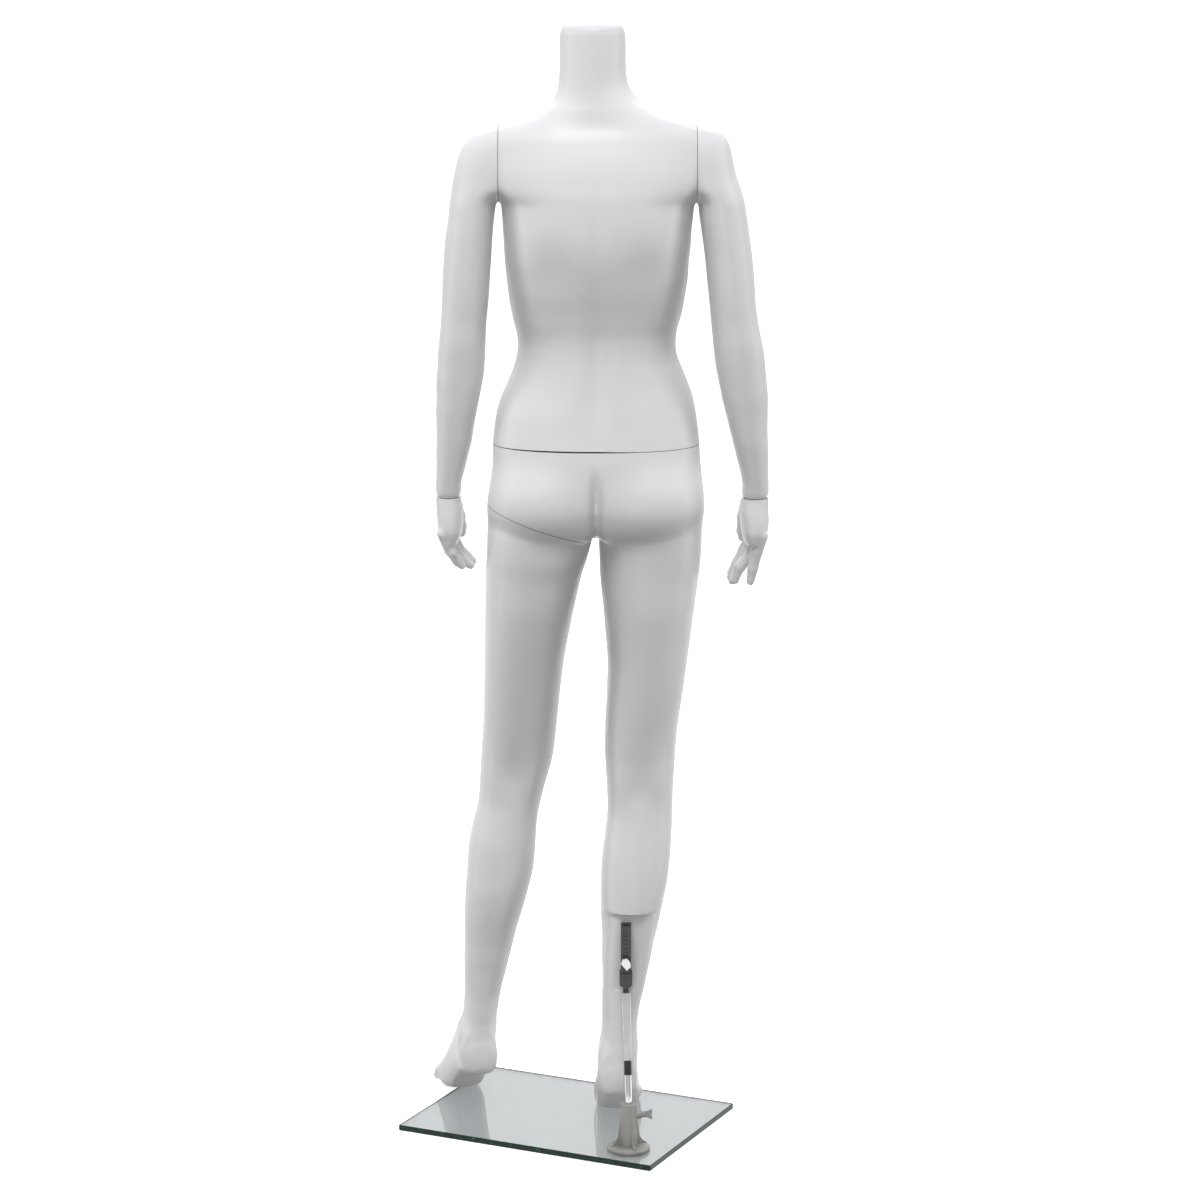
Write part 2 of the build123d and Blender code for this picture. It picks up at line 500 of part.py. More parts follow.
with BuildPart() as right_shoulder_stud:
    with BuildSketch(Plane.YZ.offset(MID - SHOULDER_X - GAP / 2)):
        with Locations((SHOULDER_D, FLOOR + SHOULDER_H)):
            Circle(26)
    extrude(amount=-END)
    with BuildSketch(Plane.YZ.offset(MID - SHOULDER_X - GAP / 2)):
        with Locations((SHOULDER_D, FLOOR + SHOULDER_H)):
            Circle(10)
    extrude(amount=26)
right_shoulder_stud.part.label = "right_shoulder_stud"
export_step(right_shoulder_stud.part, "parts/right_shoulder_stud.step")

# ---------------------------------------------------------------------------
# Waist: a keyed socket in the hips, a keyed peg under the torso
# ---------------------------------------------------------------------------
with BuildPart() as waist_socket:
    with Locations((MID, 0, FLOOR + WAIST_Z - GAP / 2)):
        Cylinder(40, END, align=(Align.CENTER, Align.CENTER, Align.MAX))
        Cylinder(24, 50, align=(Align.CENTER, Align.CENTER, Align.MAX))
        Box(30.8, 30.8, 46, align=(Align.CENTER, Align.CENTER, Align.MAX), mode=Mode.SUBTRACT)
waist_socket.part.label = "waist_socket"
export_step(waist_socket.part, "parts/waist_socket.step")

with BuildPart() as waist_peg:
    with Locations((MID, 0, FLOOR + WAIST_Z + GAP / 2)):
        Cylinder(40, END, align=(Align.CENTER, Align.CENTER, Align.MIN))
        Box(30, 30, 42, align=(Align.CENTER, Align.CENTER, Align.MAX))
    chamfer(waist_peg.faces().sort_by(Axis.Z)[0].edges(), 3)
waist_peg.part.label = "waist_peg"
export_step(waist_peg.part, "parts/waist_peg.step")

# ---------------------------------------------------------------------------
# Left hip: a socket plate in the hips and a stud plate in the leg, locked together
# ---------------------------------------------------------------------------
with BuildPart() as left_hip_socket:
    with BuildSketch(hip_plane(GAP / 2)):
        with Locations((8, -70)):
            Circle(34)
            Circle(14, mode=Mode.SUBTRACT)
    extrude(amount=END)
    with BuildSketch(hip_plane(GAP / 2 + END)):
        with Locations((8, -70)):
            Circle(20)
            Circle(14, mode=Mode.SUBTRACT)
    extrude(amount=24)
left_hip_socket.part.label = "left_hip_socket"
export_step(left_hip_socket.part, "parts/left_hip_socket.step")

with BuildPart() as left_hip_stud:
    with BuildSketch(hip_plane(-GAP / 2)):
        with Locations((8, -70)):
            Circle(34)
    extrude(amount=-END)
    with BuildSketch(hip_plane(-GAP / 2)):
        with Locations((8, -70)):
            Circle(14)
    extrude(amount=24)
left_hip_stud.part.label = "left_hip_stud"
export_step(left_hip_stud.part, "parts/left_hip_stud.step")

# ---------------------------------------------------------------------------
# Base: glass plate, screw, sleeve, gasket, cast socket, wing screw
# ---------------------------------------------------------------------------
with BuildPart() as glass_base:
    with BuildSketch(Plane.XY) as plate_outline:
        with Locations(Location((0, 0, 0), (0, 0, GLASS_TURN))):
            RectangleRounded(GLASS_L, GLASS_W, GLASS_R)
    extrude(amount=GLASS_T)
    chamfer(glass_base.faces().sort_by(Axis.Z)[-1].edges() + glass_base.faces().sort_by(Axis.Z)[0].edges(), 0.8)
    with Locations((SOCKET_X, SOCKET_Y, 0)):
        Cylinder(7, 40, mode=Mode.SUBTRACT)
glass_base.part.label = "glass_base"
export_step(glass_base.part, "parts/glass_base.step")

with BuildPart() as base_sleeve:
    with Locations((SOCKET_X, SOCKET_Y, 0)):
        Cylinder(7, GLASS_T, align=(Align.CENTER, Align.CENTER, Align.MIN))
        Cylinder(3, GLASS_T, align=(Align.CENTER, Align.CENTER, Align.MIN), mode=Mode.SUBTRACT)
        Cone(6, 3, 3.6, align=(Align.CENTER, Align.CENTER, Align.MIN), mode=Mode.SUBTRACT)
base_sleeve.part.label = "base_sleeve"
export_step(base_sleeve.part, "parts/base_sleeve.step")

with BuildPart() as base_bolt:
    with Locations((SOCKET_X, SOCKET_Y, 0)):
        Cone(6, 3, 3.6, align=(Align.CENTER, Align.CENTER, Align.MIN))
        Cylinder(3, 22, align=(Align.CENTER, Align.CENTER, Align.MIN))
    with BuildSketch(Plane.XY):
        with Locations((SOCKET_X, SOCKET_Y)):
            RegularPolygon(2, 6)
    extrude(amount=2.4, mode=Mode.SUBTRACT)
base_bolt.part.label = "base_bolt"
export_step(base_bolt.part, "parts/base_bolt.step")

with BuildPart() as socket_gasket:
    with Locations((SOCKET_X, SOCKET_Y, FLOOR)):
        Cylinder(28, 0.8, align=(Align.CENTER, Align.CENTER, Align.MIN))
        Cylinder(3, 0.8, align=(Align.CENTER, Align.CENTER, Align.MIN), mode=Mode.SUBTRACT)
socket_gasket.part.label = "socket_gasket"
export_step(socket_gasket.part, "parts/socket_gasket.step")

with BuildPart() as base_socket:
    with Locations((SOCKET_X, SOCKET_Y, FLOOR + 0.8)):
        Cylinder(29, 5, align=(Align.CENTER, Align.CENTER, Align.MIN))
    fillet(base_socket.edges().group_by(Axis.Z)[-1], 2)
    with Locations((SOCKET_X, SOCKET_Y, FLOOR + 5.8)):
        Cone(26, 23, 2.2, align=(Align.CENTER, Align.CENTER, Align.MIN))
    # eight sided tapering column
    with BuildSketch(Plane.XY.offset(FLOOR + 5)):
        with Locations((SOCKET_X, SOCKET_Y)):
            RegularPolygon(12.6, 8, major_radius=False, rotation=22.5)
    with BuildSketch(Plane.XY.offset(FLOOR + SOCKET_H - 4)):
        with Locations((SOCKET_X, SOCKET_Y)):
            RegularPolygon(10.6, 8, major_radius=False, rotation=22.5)
    loft()
    with Locations((SOCKET_X, SOCKET_Y, FLOOR + SOCKET_H - 5)):
        Cylinder(10.85, 5, align=(Align.CENTER, Align.CENTER, Align.MIN))
    chamfer(base_socket.edges().group_by(Axis.Z)[-1], 0.8)
    # four gusset ribs
    for turn in (20, 110, 200, 290):
        with BuildSketch(Plane(origin=(SOCKET_X, SOCKET_Y, FLOOR), x_dir=(math.cos(math.radians(turn)), math.sin(math.radians(turn)), 0),
                               z_dir=(math.sin(math.radians(turn)), -math.cos(math.radians(turn)), 0))):
            with BuildLine():
                Polyline((8, 6), (25, 6), (25, 8.5))
                Spline((25, 8.5), (17, 16), (13.4, 30), (11.6, 44), (10.6, 56))
                Polyline((10.6, 56), (8, 56), (8, 6))
            make_face()
        extrude(amount=1.6, both=True)
    # side boss for the wing screw
    with BuildSketch(Plane.YZ.offset(SOCKET_X - 6)):
        with Locations((SOCKET_Y, FLOOR + 50)):
            Circle(6)
    extrude(amount=-11)
    # bore for the post and hole for the wing screw
    with Locations((SOCKET_X, SOCKET_Y, FLOOR + 18)):
        Cylinder(BORE_R, 80, align=(Align.CENTER, Align.CENTER, Align.MIN), mode=Mode.SUBTRACT)
    with Locations((SOCKET_X, SOCKET_Y, FLOOR)):
        Cylinder(3, 14, align=(Align.CENTER, Align.CENTER, Align.MIN), mode=Mode.SUBTRACT)
    with BuildSketch(Plane.YZ.offset(SOCKET_X)):
        with Locations((SOCKET_Y, FLOOR + 50)):
            Circle(3.4)
    extrude(amount=-40, mode=Mode.SUBTRACT)
base_socket.part.label = "base_socket"
export_step(base_socket.part, "parts/base_socket.step")

with BuildPart() as base_wing_screw:
    with BuildSketch(Plane.YZ.offset(SOCKET_X - POST_R - 0.5)):
        with Locations((SOCKET_Y, FLOOR + 50)):
            Circle(3)
    extrude(amount=-18)
    with BuildSketch(Plane.YZ.offset(SOCKET_X - 18)):
        with Locations((SOCKET_Y, FLOOR + 50)):
            Circle(4.2)
    extrude(amount=-5)
    with BuildSketch(Plane.XZ.offset(-(SOCKET_Y - 1.6))):
        with BuildLine():
            Polyline((SOCKET_X - 20, FLOOR + 47.6), (SOCKET_X - 31.6, FLOOR + 43),
                     (SOCKET_X - 31.6, FLOOR + 48.6), (SOCKET_X - 28.6, FLOOR + 50), (SOCKET_X - 31.6, FLOOR + 51.4),
                     (SOCKET_X - 31.6, FLOOR + 57), (SOCKET_X - 20, FLOOR + 52.4), close=True)
        make_face()
    extrude(amount=-3.2)
base_wing_screw.part.label = "base_wing_screw"
export_step(base_wing_screw.part, "parts/base_wing_screw.step")

# ---------------------------------------------------------------------------
# Support rod: bent post, collar, tapering bar and the tongue inside the bracket
# ---------------------------------------------------------------------------
TONGUE_Y = 92.5                                    # the tongue stands upright inside the bracket
BAR_TOP = Vector(MID + BRACKET_X, TONGUE_Y, FLOOR + 209)
LEAN = (BAR_TOP - Vector(SOCKET_X, SOCKET_Y, FLOOR + 74)).normalized()
LOW = Vector(SOCKET_X, SOCKET_Y, FLOOR + 74)


def on_rod(height):
    """Point of the leaning rod at a height above the plate's top."""
    return LOW + LEAN * ((FLOOR + height - LOW.Z) / LEAN.Z)


with BuildPart() as support_post:
    with BuildLine() as post_path:
        FilletPolyline((SOCKET_X, SOCKET_Y, FLOOR + 20), LOW, on_rod(112), radius=16)
    with BuildSketch(Plane(origin=(SOCKET_X, SOCKET_Y, FLOOR + 20), z_dir=(0, 0, 1))):
        Circle(POST_R)
    sweep()
support_post.part.label = "support_post"
export_step(support_post.part, "parts/support_post.step")

with BuildPart() as post_collar:
    with BuildSketch(Plane(origin=on_rod(101), z_dir=LEAN)):
        Circle(5.0)
        Circle(POST_R, mode=Mode.SUBTRACT)
    extrude(amount=(on_rod(112) - on_rod(101)).length)
    with BuildSketch(Plane(origin=on_rod(112), z_dir=LEAN)):
        Circle(5.0)
    extrude(amount=(on_rod(119) - on_rod(112)).length)
post_collar.part.label = "post_collar"
export_step(post_collar.part, "parts/post_collar.step")

with BuildPart() as support_rod:
    with BuildSketch(Plane(origin=on_rod(119), x_dir=(1, 0, 0), z_dir=LEAN)):
        RectangleRounded(8.8, 6, 1.6)
    with BuildSketch(Plane(origin=on_rod(203), x_dir=(1, 0, 0), z_dir=LEAN)):
        RectangleRounded(12.0, 6, 1.6)
    loft()
support_rod.part.label = "support_rod"
export_step(support_rod.part, "parts/support_rod.step")

with BuildPart() as rod_tongue:
    with BuildSketch(Plane(origin=on_rod(203), x_dir=(1, 0, 0), z_dir=LEAN)):
        Rectangle(7.2, 5.4)
    with BuildSketch(Plane.XY.offset(FLOOR + 209)):
        with Locations((MID + BRACKET_X, TONGUE_Y)):
            Rectangle(7.2, 5.4)
    loft()
    with Locations((MID + BRACKET_X, TONGUE_Y, FLOOR + 209)):
        Box(7.2, 5.4, 86, align=(Align.CENTER, Align.CENTER, Align.MIN))
rod_tongue.part.label = "rod_tongue"
export_step(rod_tongue.part, "parts/rod_tongue.step")

# ---------------------------------------------------------------------------
# Calf bracket: slotted channel, guide collar, screws, backing plate, thumb screw
# ---------------------------------------------------------------------------
with BuildPart() as calf_bracket:
    with Locations((MID + BRACKET_X, RECESS_Y, FLOOR + 213)):
        Box(13.6, 20, 85, align=(Align.CENTER, Align.MIN, Align.MIN))
    with Locations((MID + BRACKET_X, TONGUE_Y, FLOOR + 200)):
        Box(8.4, 6.6, 130, align=(Align.CENTER, Align.CENTER, Align.MIN), mode=Mode.SUBTRACT)
    # row of shallow tick slots down the outer face
    with BuildSketch(Plane.XZ.offset(-(RECESS_Y + 20))):
        with Locations(*[(MID + BRACKET_X, FLOOR + 257 + 5.6 * k) for k in range(7)]):
            Rectangle(6.4, 2.2)
        with Locations((MID + BRACKET_X, FLOOR + 247)):
            Circle(3.1)
    extrude(amount=0.8, mode=Mode.SUBTRACT)
    with BuildSketch(Plane.XZ.offset(-(RECESS_Y + 20))):
        with Locations((MID + BRACKET_X, FLOOR + 247)):
            Circle(3.1)
    extrude(amount=5, mode=Mode.SUBTRACT)
calf_bracket.part.label = "calf_bracket"
export_step(calf_bracket.part, "parts/calf_bracket.step")

with BuildPart() as bracket_guide:
    with Locations((MID + BRACKET_X, RECESS_Y, FLOOR + 216)):
        Box(17, 22, 16, align=(Align.CENTER, Align.MIN, Align.MIN))
        Box(13.6, 20, 16, align=(Align.CENTER, Align.MIN, Align.MIN), mode=Mode.SUBTRACT)
bracket_guide.part.label = "bracket_guide"
export_step(bracket_guide.part, "parts/bracket_guide.step")

with BuildPart() as calf_backing_plate:
    with Locations((MID + BRACKET_X, RECESS_Y - WALL - 0.8, FLOOR + 262)):
        Box(18, 3, 86, align=(Align.CENTER, Align.MAX, Align.CENTER))
    with BuildSketch(Plane.XZ.offset(-(RECESS_Y))):
        with Locations((MID + BRACKET_X, FLOOR + 224), (MID + BRACKET_X, FLOOR + 294)):
            Circle(2)
    extrude(amount=12, mode=Mode.SUBTRACT)
calf_backing_plate.part.label = "calf_backing_plate"
export_step(calf_backing_plate.part, "parts/calf_backing_plate.step")

with BuildPart() as bracket_screws:
    with BuildSketch(Plane.XZ.offset(-RECESS_Y)):
        with Locations((MID + BRACKET_X, FLOOR + 224), (MID + BRACKET_X, FLOOR + 294)):
            Circle(2)
    extrude(amount=10)
bracket_screws.part.label = "bracket_screws"
export_step(bracket_screws.part, "parts/bracket_screws.step")

with BuildPart() as calf_thumb_screw:
    with BuildSketch(Plane.XZ.offset(-(TONGUE_Y + 2.7 + 0.5))):
        with Locations((MID + BRACKET_X, FLOOR + 247)):
            Circle(2.5)
    extrude(amount=-9)
    with BuildSketch(Plane.XZ.offset(-(RECESS_Y + 22))):
        with Locations((MID + BRACKET_X, FLOOR + 247)):
            Circle(4)
    extrude(amount=-3)
    with BuildSketch(Plane.XZ.offset(-(RECESS_Y + 24))):
        with BuildLine():
            Polyline((MID + BRACKET_X - 6.5, FLOOR + 244), (MID + BRACKET_X - 1, FLOOR + 239), (MID + BRACKET_X + 6.5, FLOOR + 248),
                     (MID + BRACKET_X + 4.5, FLOOR + 254.5), (MID + BRACKET_X - 1.5, FLOOR + 255.5), (MID + BRACKET_X - 5.5, FLOOR + 250), close=True)
        make_face()
    extrude(amount=-5)
calf_thumb_screw.part.label = "calf_thumb_screw"
export_step(calf_thumb_screw.part, "parts/calf_thumb_screw.step")
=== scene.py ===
import math
import bpy
import bmesh
import numpy as np
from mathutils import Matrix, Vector


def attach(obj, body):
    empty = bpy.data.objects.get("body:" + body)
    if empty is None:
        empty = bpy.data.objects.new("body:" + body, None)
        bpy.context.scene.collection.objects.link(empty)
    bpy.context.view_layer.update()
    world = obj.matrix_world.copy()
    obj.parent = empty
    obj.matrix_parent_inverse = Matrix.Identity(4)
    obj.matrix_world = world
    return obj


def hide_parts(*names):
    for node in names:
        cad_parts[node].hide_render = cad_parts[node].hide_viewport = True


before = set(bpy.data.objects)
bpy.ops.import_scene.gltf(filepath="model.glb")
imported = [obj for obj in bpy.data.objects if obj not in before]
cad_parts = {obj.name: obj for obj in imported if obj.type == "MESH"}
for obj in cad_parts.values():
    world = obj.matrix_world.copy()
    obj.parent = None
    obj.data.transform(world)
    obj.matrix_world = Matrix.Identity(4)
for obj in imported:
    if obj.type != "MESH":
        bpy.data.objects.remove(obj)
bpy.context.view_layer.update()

# ---------------------------------------------------------------------------
# Body tables in mm: x from the body's midline (left +), y back +, z above the plate
# ---------------------------------------------------------------------------
MID, FLOOR = -42.0, 8.0
WAIST_Z, SHOULDER_X, WRIST_Z = 939.0, 130.0, 861.0
HIP_Z, HIP_X, HIP_SLOPE = 812.0, 8.0, 0.3525
NECK_Z = 1484.0
RECESS_Y, RECESS_LOW, RECESS_TOP, BRACKET_X = 79.0, 203.0, 308.0, -38.0
RIGHT_HEEL, RIGHT_TOE_OUT = (-27.0, 107.0), 0.0
LEFT_HEEL, LEFT_TOE_OUT = (160.0, 13.5), 14.0

TRUNK = [
    (816, -130, 136, -72, 76, 2.2), (824, -138, 144, -83, 84, 2.2),
    (832, -141, 147, -88, 90, 2.25),
    (845, -142, 148, -91, 96, 2.3), (860, -142, 147, -95, 101, 2.3),
    (880, -141, 145, -99, 102, 2.3), (900, -139, 142, -102, 101, 2.3),
    (920, -137, 140, -104, 98, 2.3), (939, -136, 140, -105, 93, 2.3),
    (960, -134, 138, -105, 87, 2.3), (980, -131, 135, -103, 81, 2.3),
    (1000, -127, 129, -101, 75, 2.25), (1020, -120, 120, -99, 70, 2.2),
    (1040, -112, 112, -98, 66, 2.2), (1055, -106, 108, -97, 64, 2.2),
    (1070, -104, 106, -98, 63.5, 2.2), (1085, -105, 108, -101, 65, 2.2),
    (1100, -109, 112, -104, 69, 2.2), (1120, -114, 116, -107, 75, 2.2),
    (1140, -117, 119, -109, 82, 2.2), (1160, -120, 121, -110, 88, 2.2),
    (1180, -121, 123, -109, 93, 2.2), (1200, -123, 124, -107, 96, 2.2),
    (1220, -124, 125, -103, 97, 2.2), (1240, -126, 126, -98, 96, 2.2),
    (1259, -128, 128, -94, 94, 2.2), (1271, -139, 140, -90, 92, 2.2),
    (1282, -147, 148, -86, 89, 2.2),
    (1300, -151, 152, -79, 84, 2.2), (1320, -152, 153, -71, 77, 2.2),
    (1335, -152, 153, -64, 71, 2.2), (1347, -149, 149, -59, 66, 2.2),
    (1357, -137, 134, -55, 61, 2.2), (1365, -121, 116, -52, 58, 2.2),
    (1373, -97, 95, -50, 56, 2.15), (1382, -75, 77, -49, 54, 2.1),
    (1393, -56, 60, -48, 51, 2.05), (1403, -46, 54, -47, 49, 2.0),
    (1418, -39, 51, -47, 47, 2.0), (1440, -37, 50, -48, 46, 2.0),
    (1465, -37, 50, -49, 45, 2.0), (1484, -36, 49, -49, 44, 2.0),
    (1520, -36, 49, -49, 44, 2.0),
]
RIGHT_LEG = [
    (112, -55, -2, 24, 97, 2.1), (130, -55, -3, 25, 92, 2.1),
    (145, -55, -4, 24, 89, 2.1), (160, -56, -5, 21, 86.5, 2.1),
    (180, -59, -5, 16, 84.5, 2.1), (200, -64, -6, 10, 83.5, 2.1),
    (220, -68, -6, 4.8, 83.8, 2.1), (240, -73, -5, -1.4, 84.6, 2.1),
    (260, -77, -5, -7.6, 86.4, 2.1), (280, -82, -5, -11.7, 88.3, 2.1),
    (300, -86, -4, -15.9, 89.1, 2.1), (320, -90, -4, -20.1, 86.9, 2.1),
    (345, -95, -4, -25.1, 82, 2.1), (380, -99, -6, -32.7, 72.3, 2.1),
    (410, -101, -10, -40.4, 61.6, 2.1), (440, -102, -13, -49.2, 52.8, 2.1),
    (470, -103, -12, -57, 49, 2.2), (500, -105, -10, -63, 49, 2.1),
    (530, -107, -9, -66, 52, 2.1), (560, -110, -10, -69, 57, 2.1),
    (600, -116, -12, -73, 64, 2.1), (640, -121, -13, -77, 70, 2.1),
    (680, -126, -10, -80, 76, 2.1), (720, -131, -7, -82, 82, 2.1),
    (760, -136, -3, -84, 89, 2.1), (790, -139, -2, -85, 96, 2.2),
    (820, -141, 0, -86, 105, 2.2), (850, -141, 2, -89, 110, 2.2),
]
LEFT_LEG = [
    (112, 140, 190, -68, 5, 2.1), (130, 139, 188, -65, 2, 2.1),
    (145, 137, 187, -65, 2, 2.1), (160, 135, 186, -66, 1, 2.1),
    (180, 131, 185, -69, 2, 2.1), (200, 126, 185, -72, 3, 2.1),
    (220, 121, 185, -74.2, 5.8, 2.1), (240, 116, 184, -78.4, 7.6, 2.1),
    (260, 111, 184, -81.6, 11.4, 2.1), (280, 105, 184, -83.7, 15.3, 2.1),
    (300, 99, 183, -84.9, 18.1, 2.1), (320, 94, 182, -86.1, 19.9, 2.1),
    (345, 88, 180, -88.1, 17.9, 2.1), (380, 85, 177, -90.7, 14.3, 2.1),
    (410, 83, 171, -94.4, 7.6, 2.1), (440, 77, 164, -99.2, 2.8, 2.1),
    (470, 69, 162, -103, 3, 2.2), (500, 61, 160, -104, 7, 2.1),
    (530, 57, 158, -103, 15, 2.1), (560, 54, 156, -102, 24, 2.1),
    (600, 50, 155, -101, 36, 2.1), (640, 45, 154, -99, 48, 2.1),
    (680, 38, 153, -97, 60, 2.1), (720, 30, 152, -93, 71, 2.1),
    (760, 21, 151, -90, 83, 2.1), (790, 12, 149, -87, 95, 2.2),
    (820, 5, 149, -87, 105, 2.2), (850, 1, 148, -90, 110, 2.2),
    (880, 0, 146, -94, 110, 2.2),
]
LEFT_ARM = [
    (861, 184, 218, -53, -8, 2.0), (880, 183, 218, -53, -3, 2.0),
    (900, 178, 217, -53, 3, 2.0), (920, 173, 217, -52, 9, 2.0),
    (940, 168, 216, -49, 15, 2.0), (960, 165, 216, -46, 20, 2.0),
    (980, 161, 216, -42, 25, 2.0), (1000, 157, 215, -38, 29, 2.0),
    (1020, 153, 215, -34, 33, 2.0), (1040, 150, 213, -30, 36, 2.0),
    (1060, 149, 212, -28, 39, 2.0), (1080, 148, 210, -27, 42, 2.0),
    (1100, 147, 208, -27, 44, 2.0), (1130, 144, 206, -29, 47, 2.0),
    (1160, 142, 205, -32, 49, 2.0), (1190, 140, 203, -36, 50, 2.0),
    (1220, 138, 200, -41, 51, 2.0), (1240, 136, 197, -44, 51, 2.05),
    (1259, 133, 195, -47, 51, 2.1), (1270, 124, 193, -48, 51, 2.12), (1277, 114, 192, -48, 51, 2.15),
    (1290, 106, 190, -48, 50, 2.2), (1305, 100, 187, -48, 49, 2.2),
    (1320, 96, 183, -46, 47, 2.2), (1333, 94, 177, -43, 44, 2.2),
    (1344, 94, 168, -38, 40, 2.2), (1352, 96, 157, -33, 36, 2.2),
    (1359, 99, 142, -28, 32, 2.2),
]
RIGHT_ARM = [
    (861, -230, -193, -43, 1, 2.0), (880, -230, -194, -43, 6, 2.0),
    (900, -229, -190, -42, 12, 2.0), (920, -229, -185, -41, 18, 2.0),
    (940, -228, -180, -39, 24, 2.0), (960, -227, -175, -36, 28, 2.0),
    (980, -227, -170, -33, 32, 2.0), (1000, -227, -165, -30, 36, 2.0),
    (1020, -225, -161, -27, 39, 2.0), (1040, -223, -157, -25, 42, 2.0),
    (1060, -221, -154, -24, 44, 2.0), (1080, -217, -152, -24, 46, 2.0),
    (1100, -213, -150, -25, 47, 2.0), (1130, -209, -147, -28, 49, 2.0),
    (1160, -207, -144, -32, 50, 2.0), (1190, -204, -141, -36, 50, 2.0),
    (1220, -200, -137, -41, 51, 2.0), (1240, -197, -134, -44, 51, 2.05),
    (1259, -194, -132, -47, 51, 2.1), (1270, -191, -123, -48, 51, 2.12), (1277, -189, -114, -48, 51, 2.15),
    (1290, -184, -106, -48, 50, 2.2), (1305, -180, -100, -48, 49, 2.2),
    (1320, -177, -96, -46, 47, 2.2), (1333, -174, -94, -43, 44, 2.2),
    (1344, -169, -94, -38, 40, 2.2), (1352, -160, -96, -33, 36, 2.2),
    (1359, -148, -99, -28, 32, 2.2),
]
LEFT_PALM = [
    (796, 188, 209, -76, -9, 2.4), (806, 185, 213, -78, -5, 2.4),
    (816, 182, 217, -77, -1, 2.3), (832, 182, 217, -70, -2, 2.2),
    (846, 182, 218, -61, -5, 2.1), (860.4, 184, 218, -53, -8, 2.0),
]
RIGHT_PALM = [
    (797, -222, -199, -62, 4, 2.4), (806, -226, -196, -66, 8, 2.4),
    (816, -230, -193, -66, 11, 2.3), (832, -231, -192, -59, 9, 2.2),
    (846, -230, -191, -51, 5, 2.1), (860.4, -230, -193, -43, 1, 2.0),
]
FOOT = [
    (0.6, 9, 66, 86), (5, 19, 60, 100), (14, 25.5, 57, 116), (30, 27.5, 56, 130),
    (50, 27, 50, 134), (75, 27.5, 34, 118), (100, 29, 16, 92), (120, 31, 4, 70),
    (131, 32, 0.8, 60), (150, 32, 0.6, 44), (175, 29, 0.8, 31), (192, 22, 2, 22),
    (204, 10, 6, 15),
]
# Fingers as chains of knuckles: x, y, z, radius
LEFT_FINGERS = [
    [(199, -62, 806, 9.6), (192, -68, 786, 8.4), (181, -73, 773, 7.4), (171, -76, 765, 5.8)],
    [(203, -46, 806, 9.6), (196, -52, 784, 8.6), (184, -57, 770, 7.6), (173, -60, 762, 6.0)],
    [(206, -28, 808, 9.2), (200, -33, 788, 8.0), (190, -37, 772, 7.0), (184, -39, 765, 5.6)],
    [(208, -12, 813, 8.6), (203, -16, 800, 7.6), (197, -19, 786, 6.6), (194.5, -20, 782, 5.0)],
    [(194, -54, 846, 11.5), (190, -70, 828, 10.0), (187, -82, 812, 8.2), (186, -87, 802, 6.4)],
]
RIGHT_FINGERS = [
    [(-210, -54, 806, 9.4), (-200, -60, 784, 8.4), (-190, -66, 764, 7.4), (-180, -68, 745, 5.8)],
    [(-212, -36, 806, 9.5), (-204, -42, 783, 8.5), (-194, -48, 762, 7.5), (-183, -51, 742, 5.8)],
    [(-213, -20, 806, 9.0), (-207, -26, 782, 8.0), (-192, -30, 765, 7.2), (-186, -33, 746, 5.6)],
    [(-220, -2, 812, 9.0), (-214, -8, 790, 8.2), (-209, -12, 766, 7.2), (-206, -14, 748, 5.5)],
    [(-203, -44, 850, 11.5), (-199, -60, 828, 10.0), (-197, -70, 808, 8.2), (-197, -75, 798, 6.4)],
]


# ---------------------------------------------------------------------------
# Body fields: negative inside, about the distance in mm
# ---------------------------------------------------------------------------
def dense(table, step=2.0):
    out = []
    for i in range(len(table) - 1):
        a, b = table[i], table[i + 1]
        before, after = table[max(i - 1, 0)], table[min(i + 2, len(table) - 1)]
        parts = max(1, round((b[0] - a[0]) / step))
        for k in range(parts):
            t, h = k / parts, b[0] - a[0]
            row = [a[0] + t * h]
            for j in range(1, len(a)):
                slope = (b[j] - a[j]) / h
                low = (a[j] - before[j]) / (a[0] - before[0]) if i else slope
                high = (after[j] - b[j]) / (after[0] - b[0]) if i < len(table) - 2 else slope
                m0 = 0.0 if low * slope <= 0 else 2 * low * slope / (low + slope)
                m1 = 0.0 if high * slope <= 0 else 2 * high * slope / (high + slope)
                row.append((2 * t**3 - 3 * t**2 + 1) * a[j] + (t**3 - 2 * t**2 + t) * h * m0
                           + (3 * t**2 - 2 * t**3) * b[j] + (t**3 - t**2) * h * m1)
            out.append(row)
    out = np.array(out + [list(table[-1])], float)
    # a light smoothing along the limb
    sm = out.copy()
    for _ in range(6):
        sm[1:-1, 1:] = 0.25 * sm[:-2, 1:] + 0.5 * sm[1:-1, 1:] + 0.25 * sm[2:, 1:]
    return sm


def smin(a, b, k):
    h = np.clip(0.5 + 0.5 * (b - a) / k, 0, 1)
    return b * (1 - h) + a * h - k * h * (1 - h)


def smax(a, b, k):
    return -smin(-a, -b, k)


def limb(table, cap=10.0):
    t = dense(table)

    def f(x, y, z):
        zc = np.clip(z, t[0, 0], t[-1, 0])
        r_, l_, f_, b_, n_ = [np.interp(zc, t[:, 0], t[:, j]) for j in range(1, 6)]
        a, cx = (l_ - r_) / 2, (l_ + r_) / 2
        b, cy = (b_ - f_) / 2, (b_ + f_) / 2
        dx, dy = x - cx, y - cy
        rho = ((np.abs(dx) / a) ** n_ + (np.abs(dy) / b) ** n_ + 1e-9) ** (1 / n_)
        r = np.hypot(dx, dy)
        d = np.where(rho < 0.08, -0.9 * np.minimum(a, b), r - r / rho)
        end = np.maximum(t[0, 0] - z, z - t[-1, 0])
        return smax(d, end, cap)
    return f


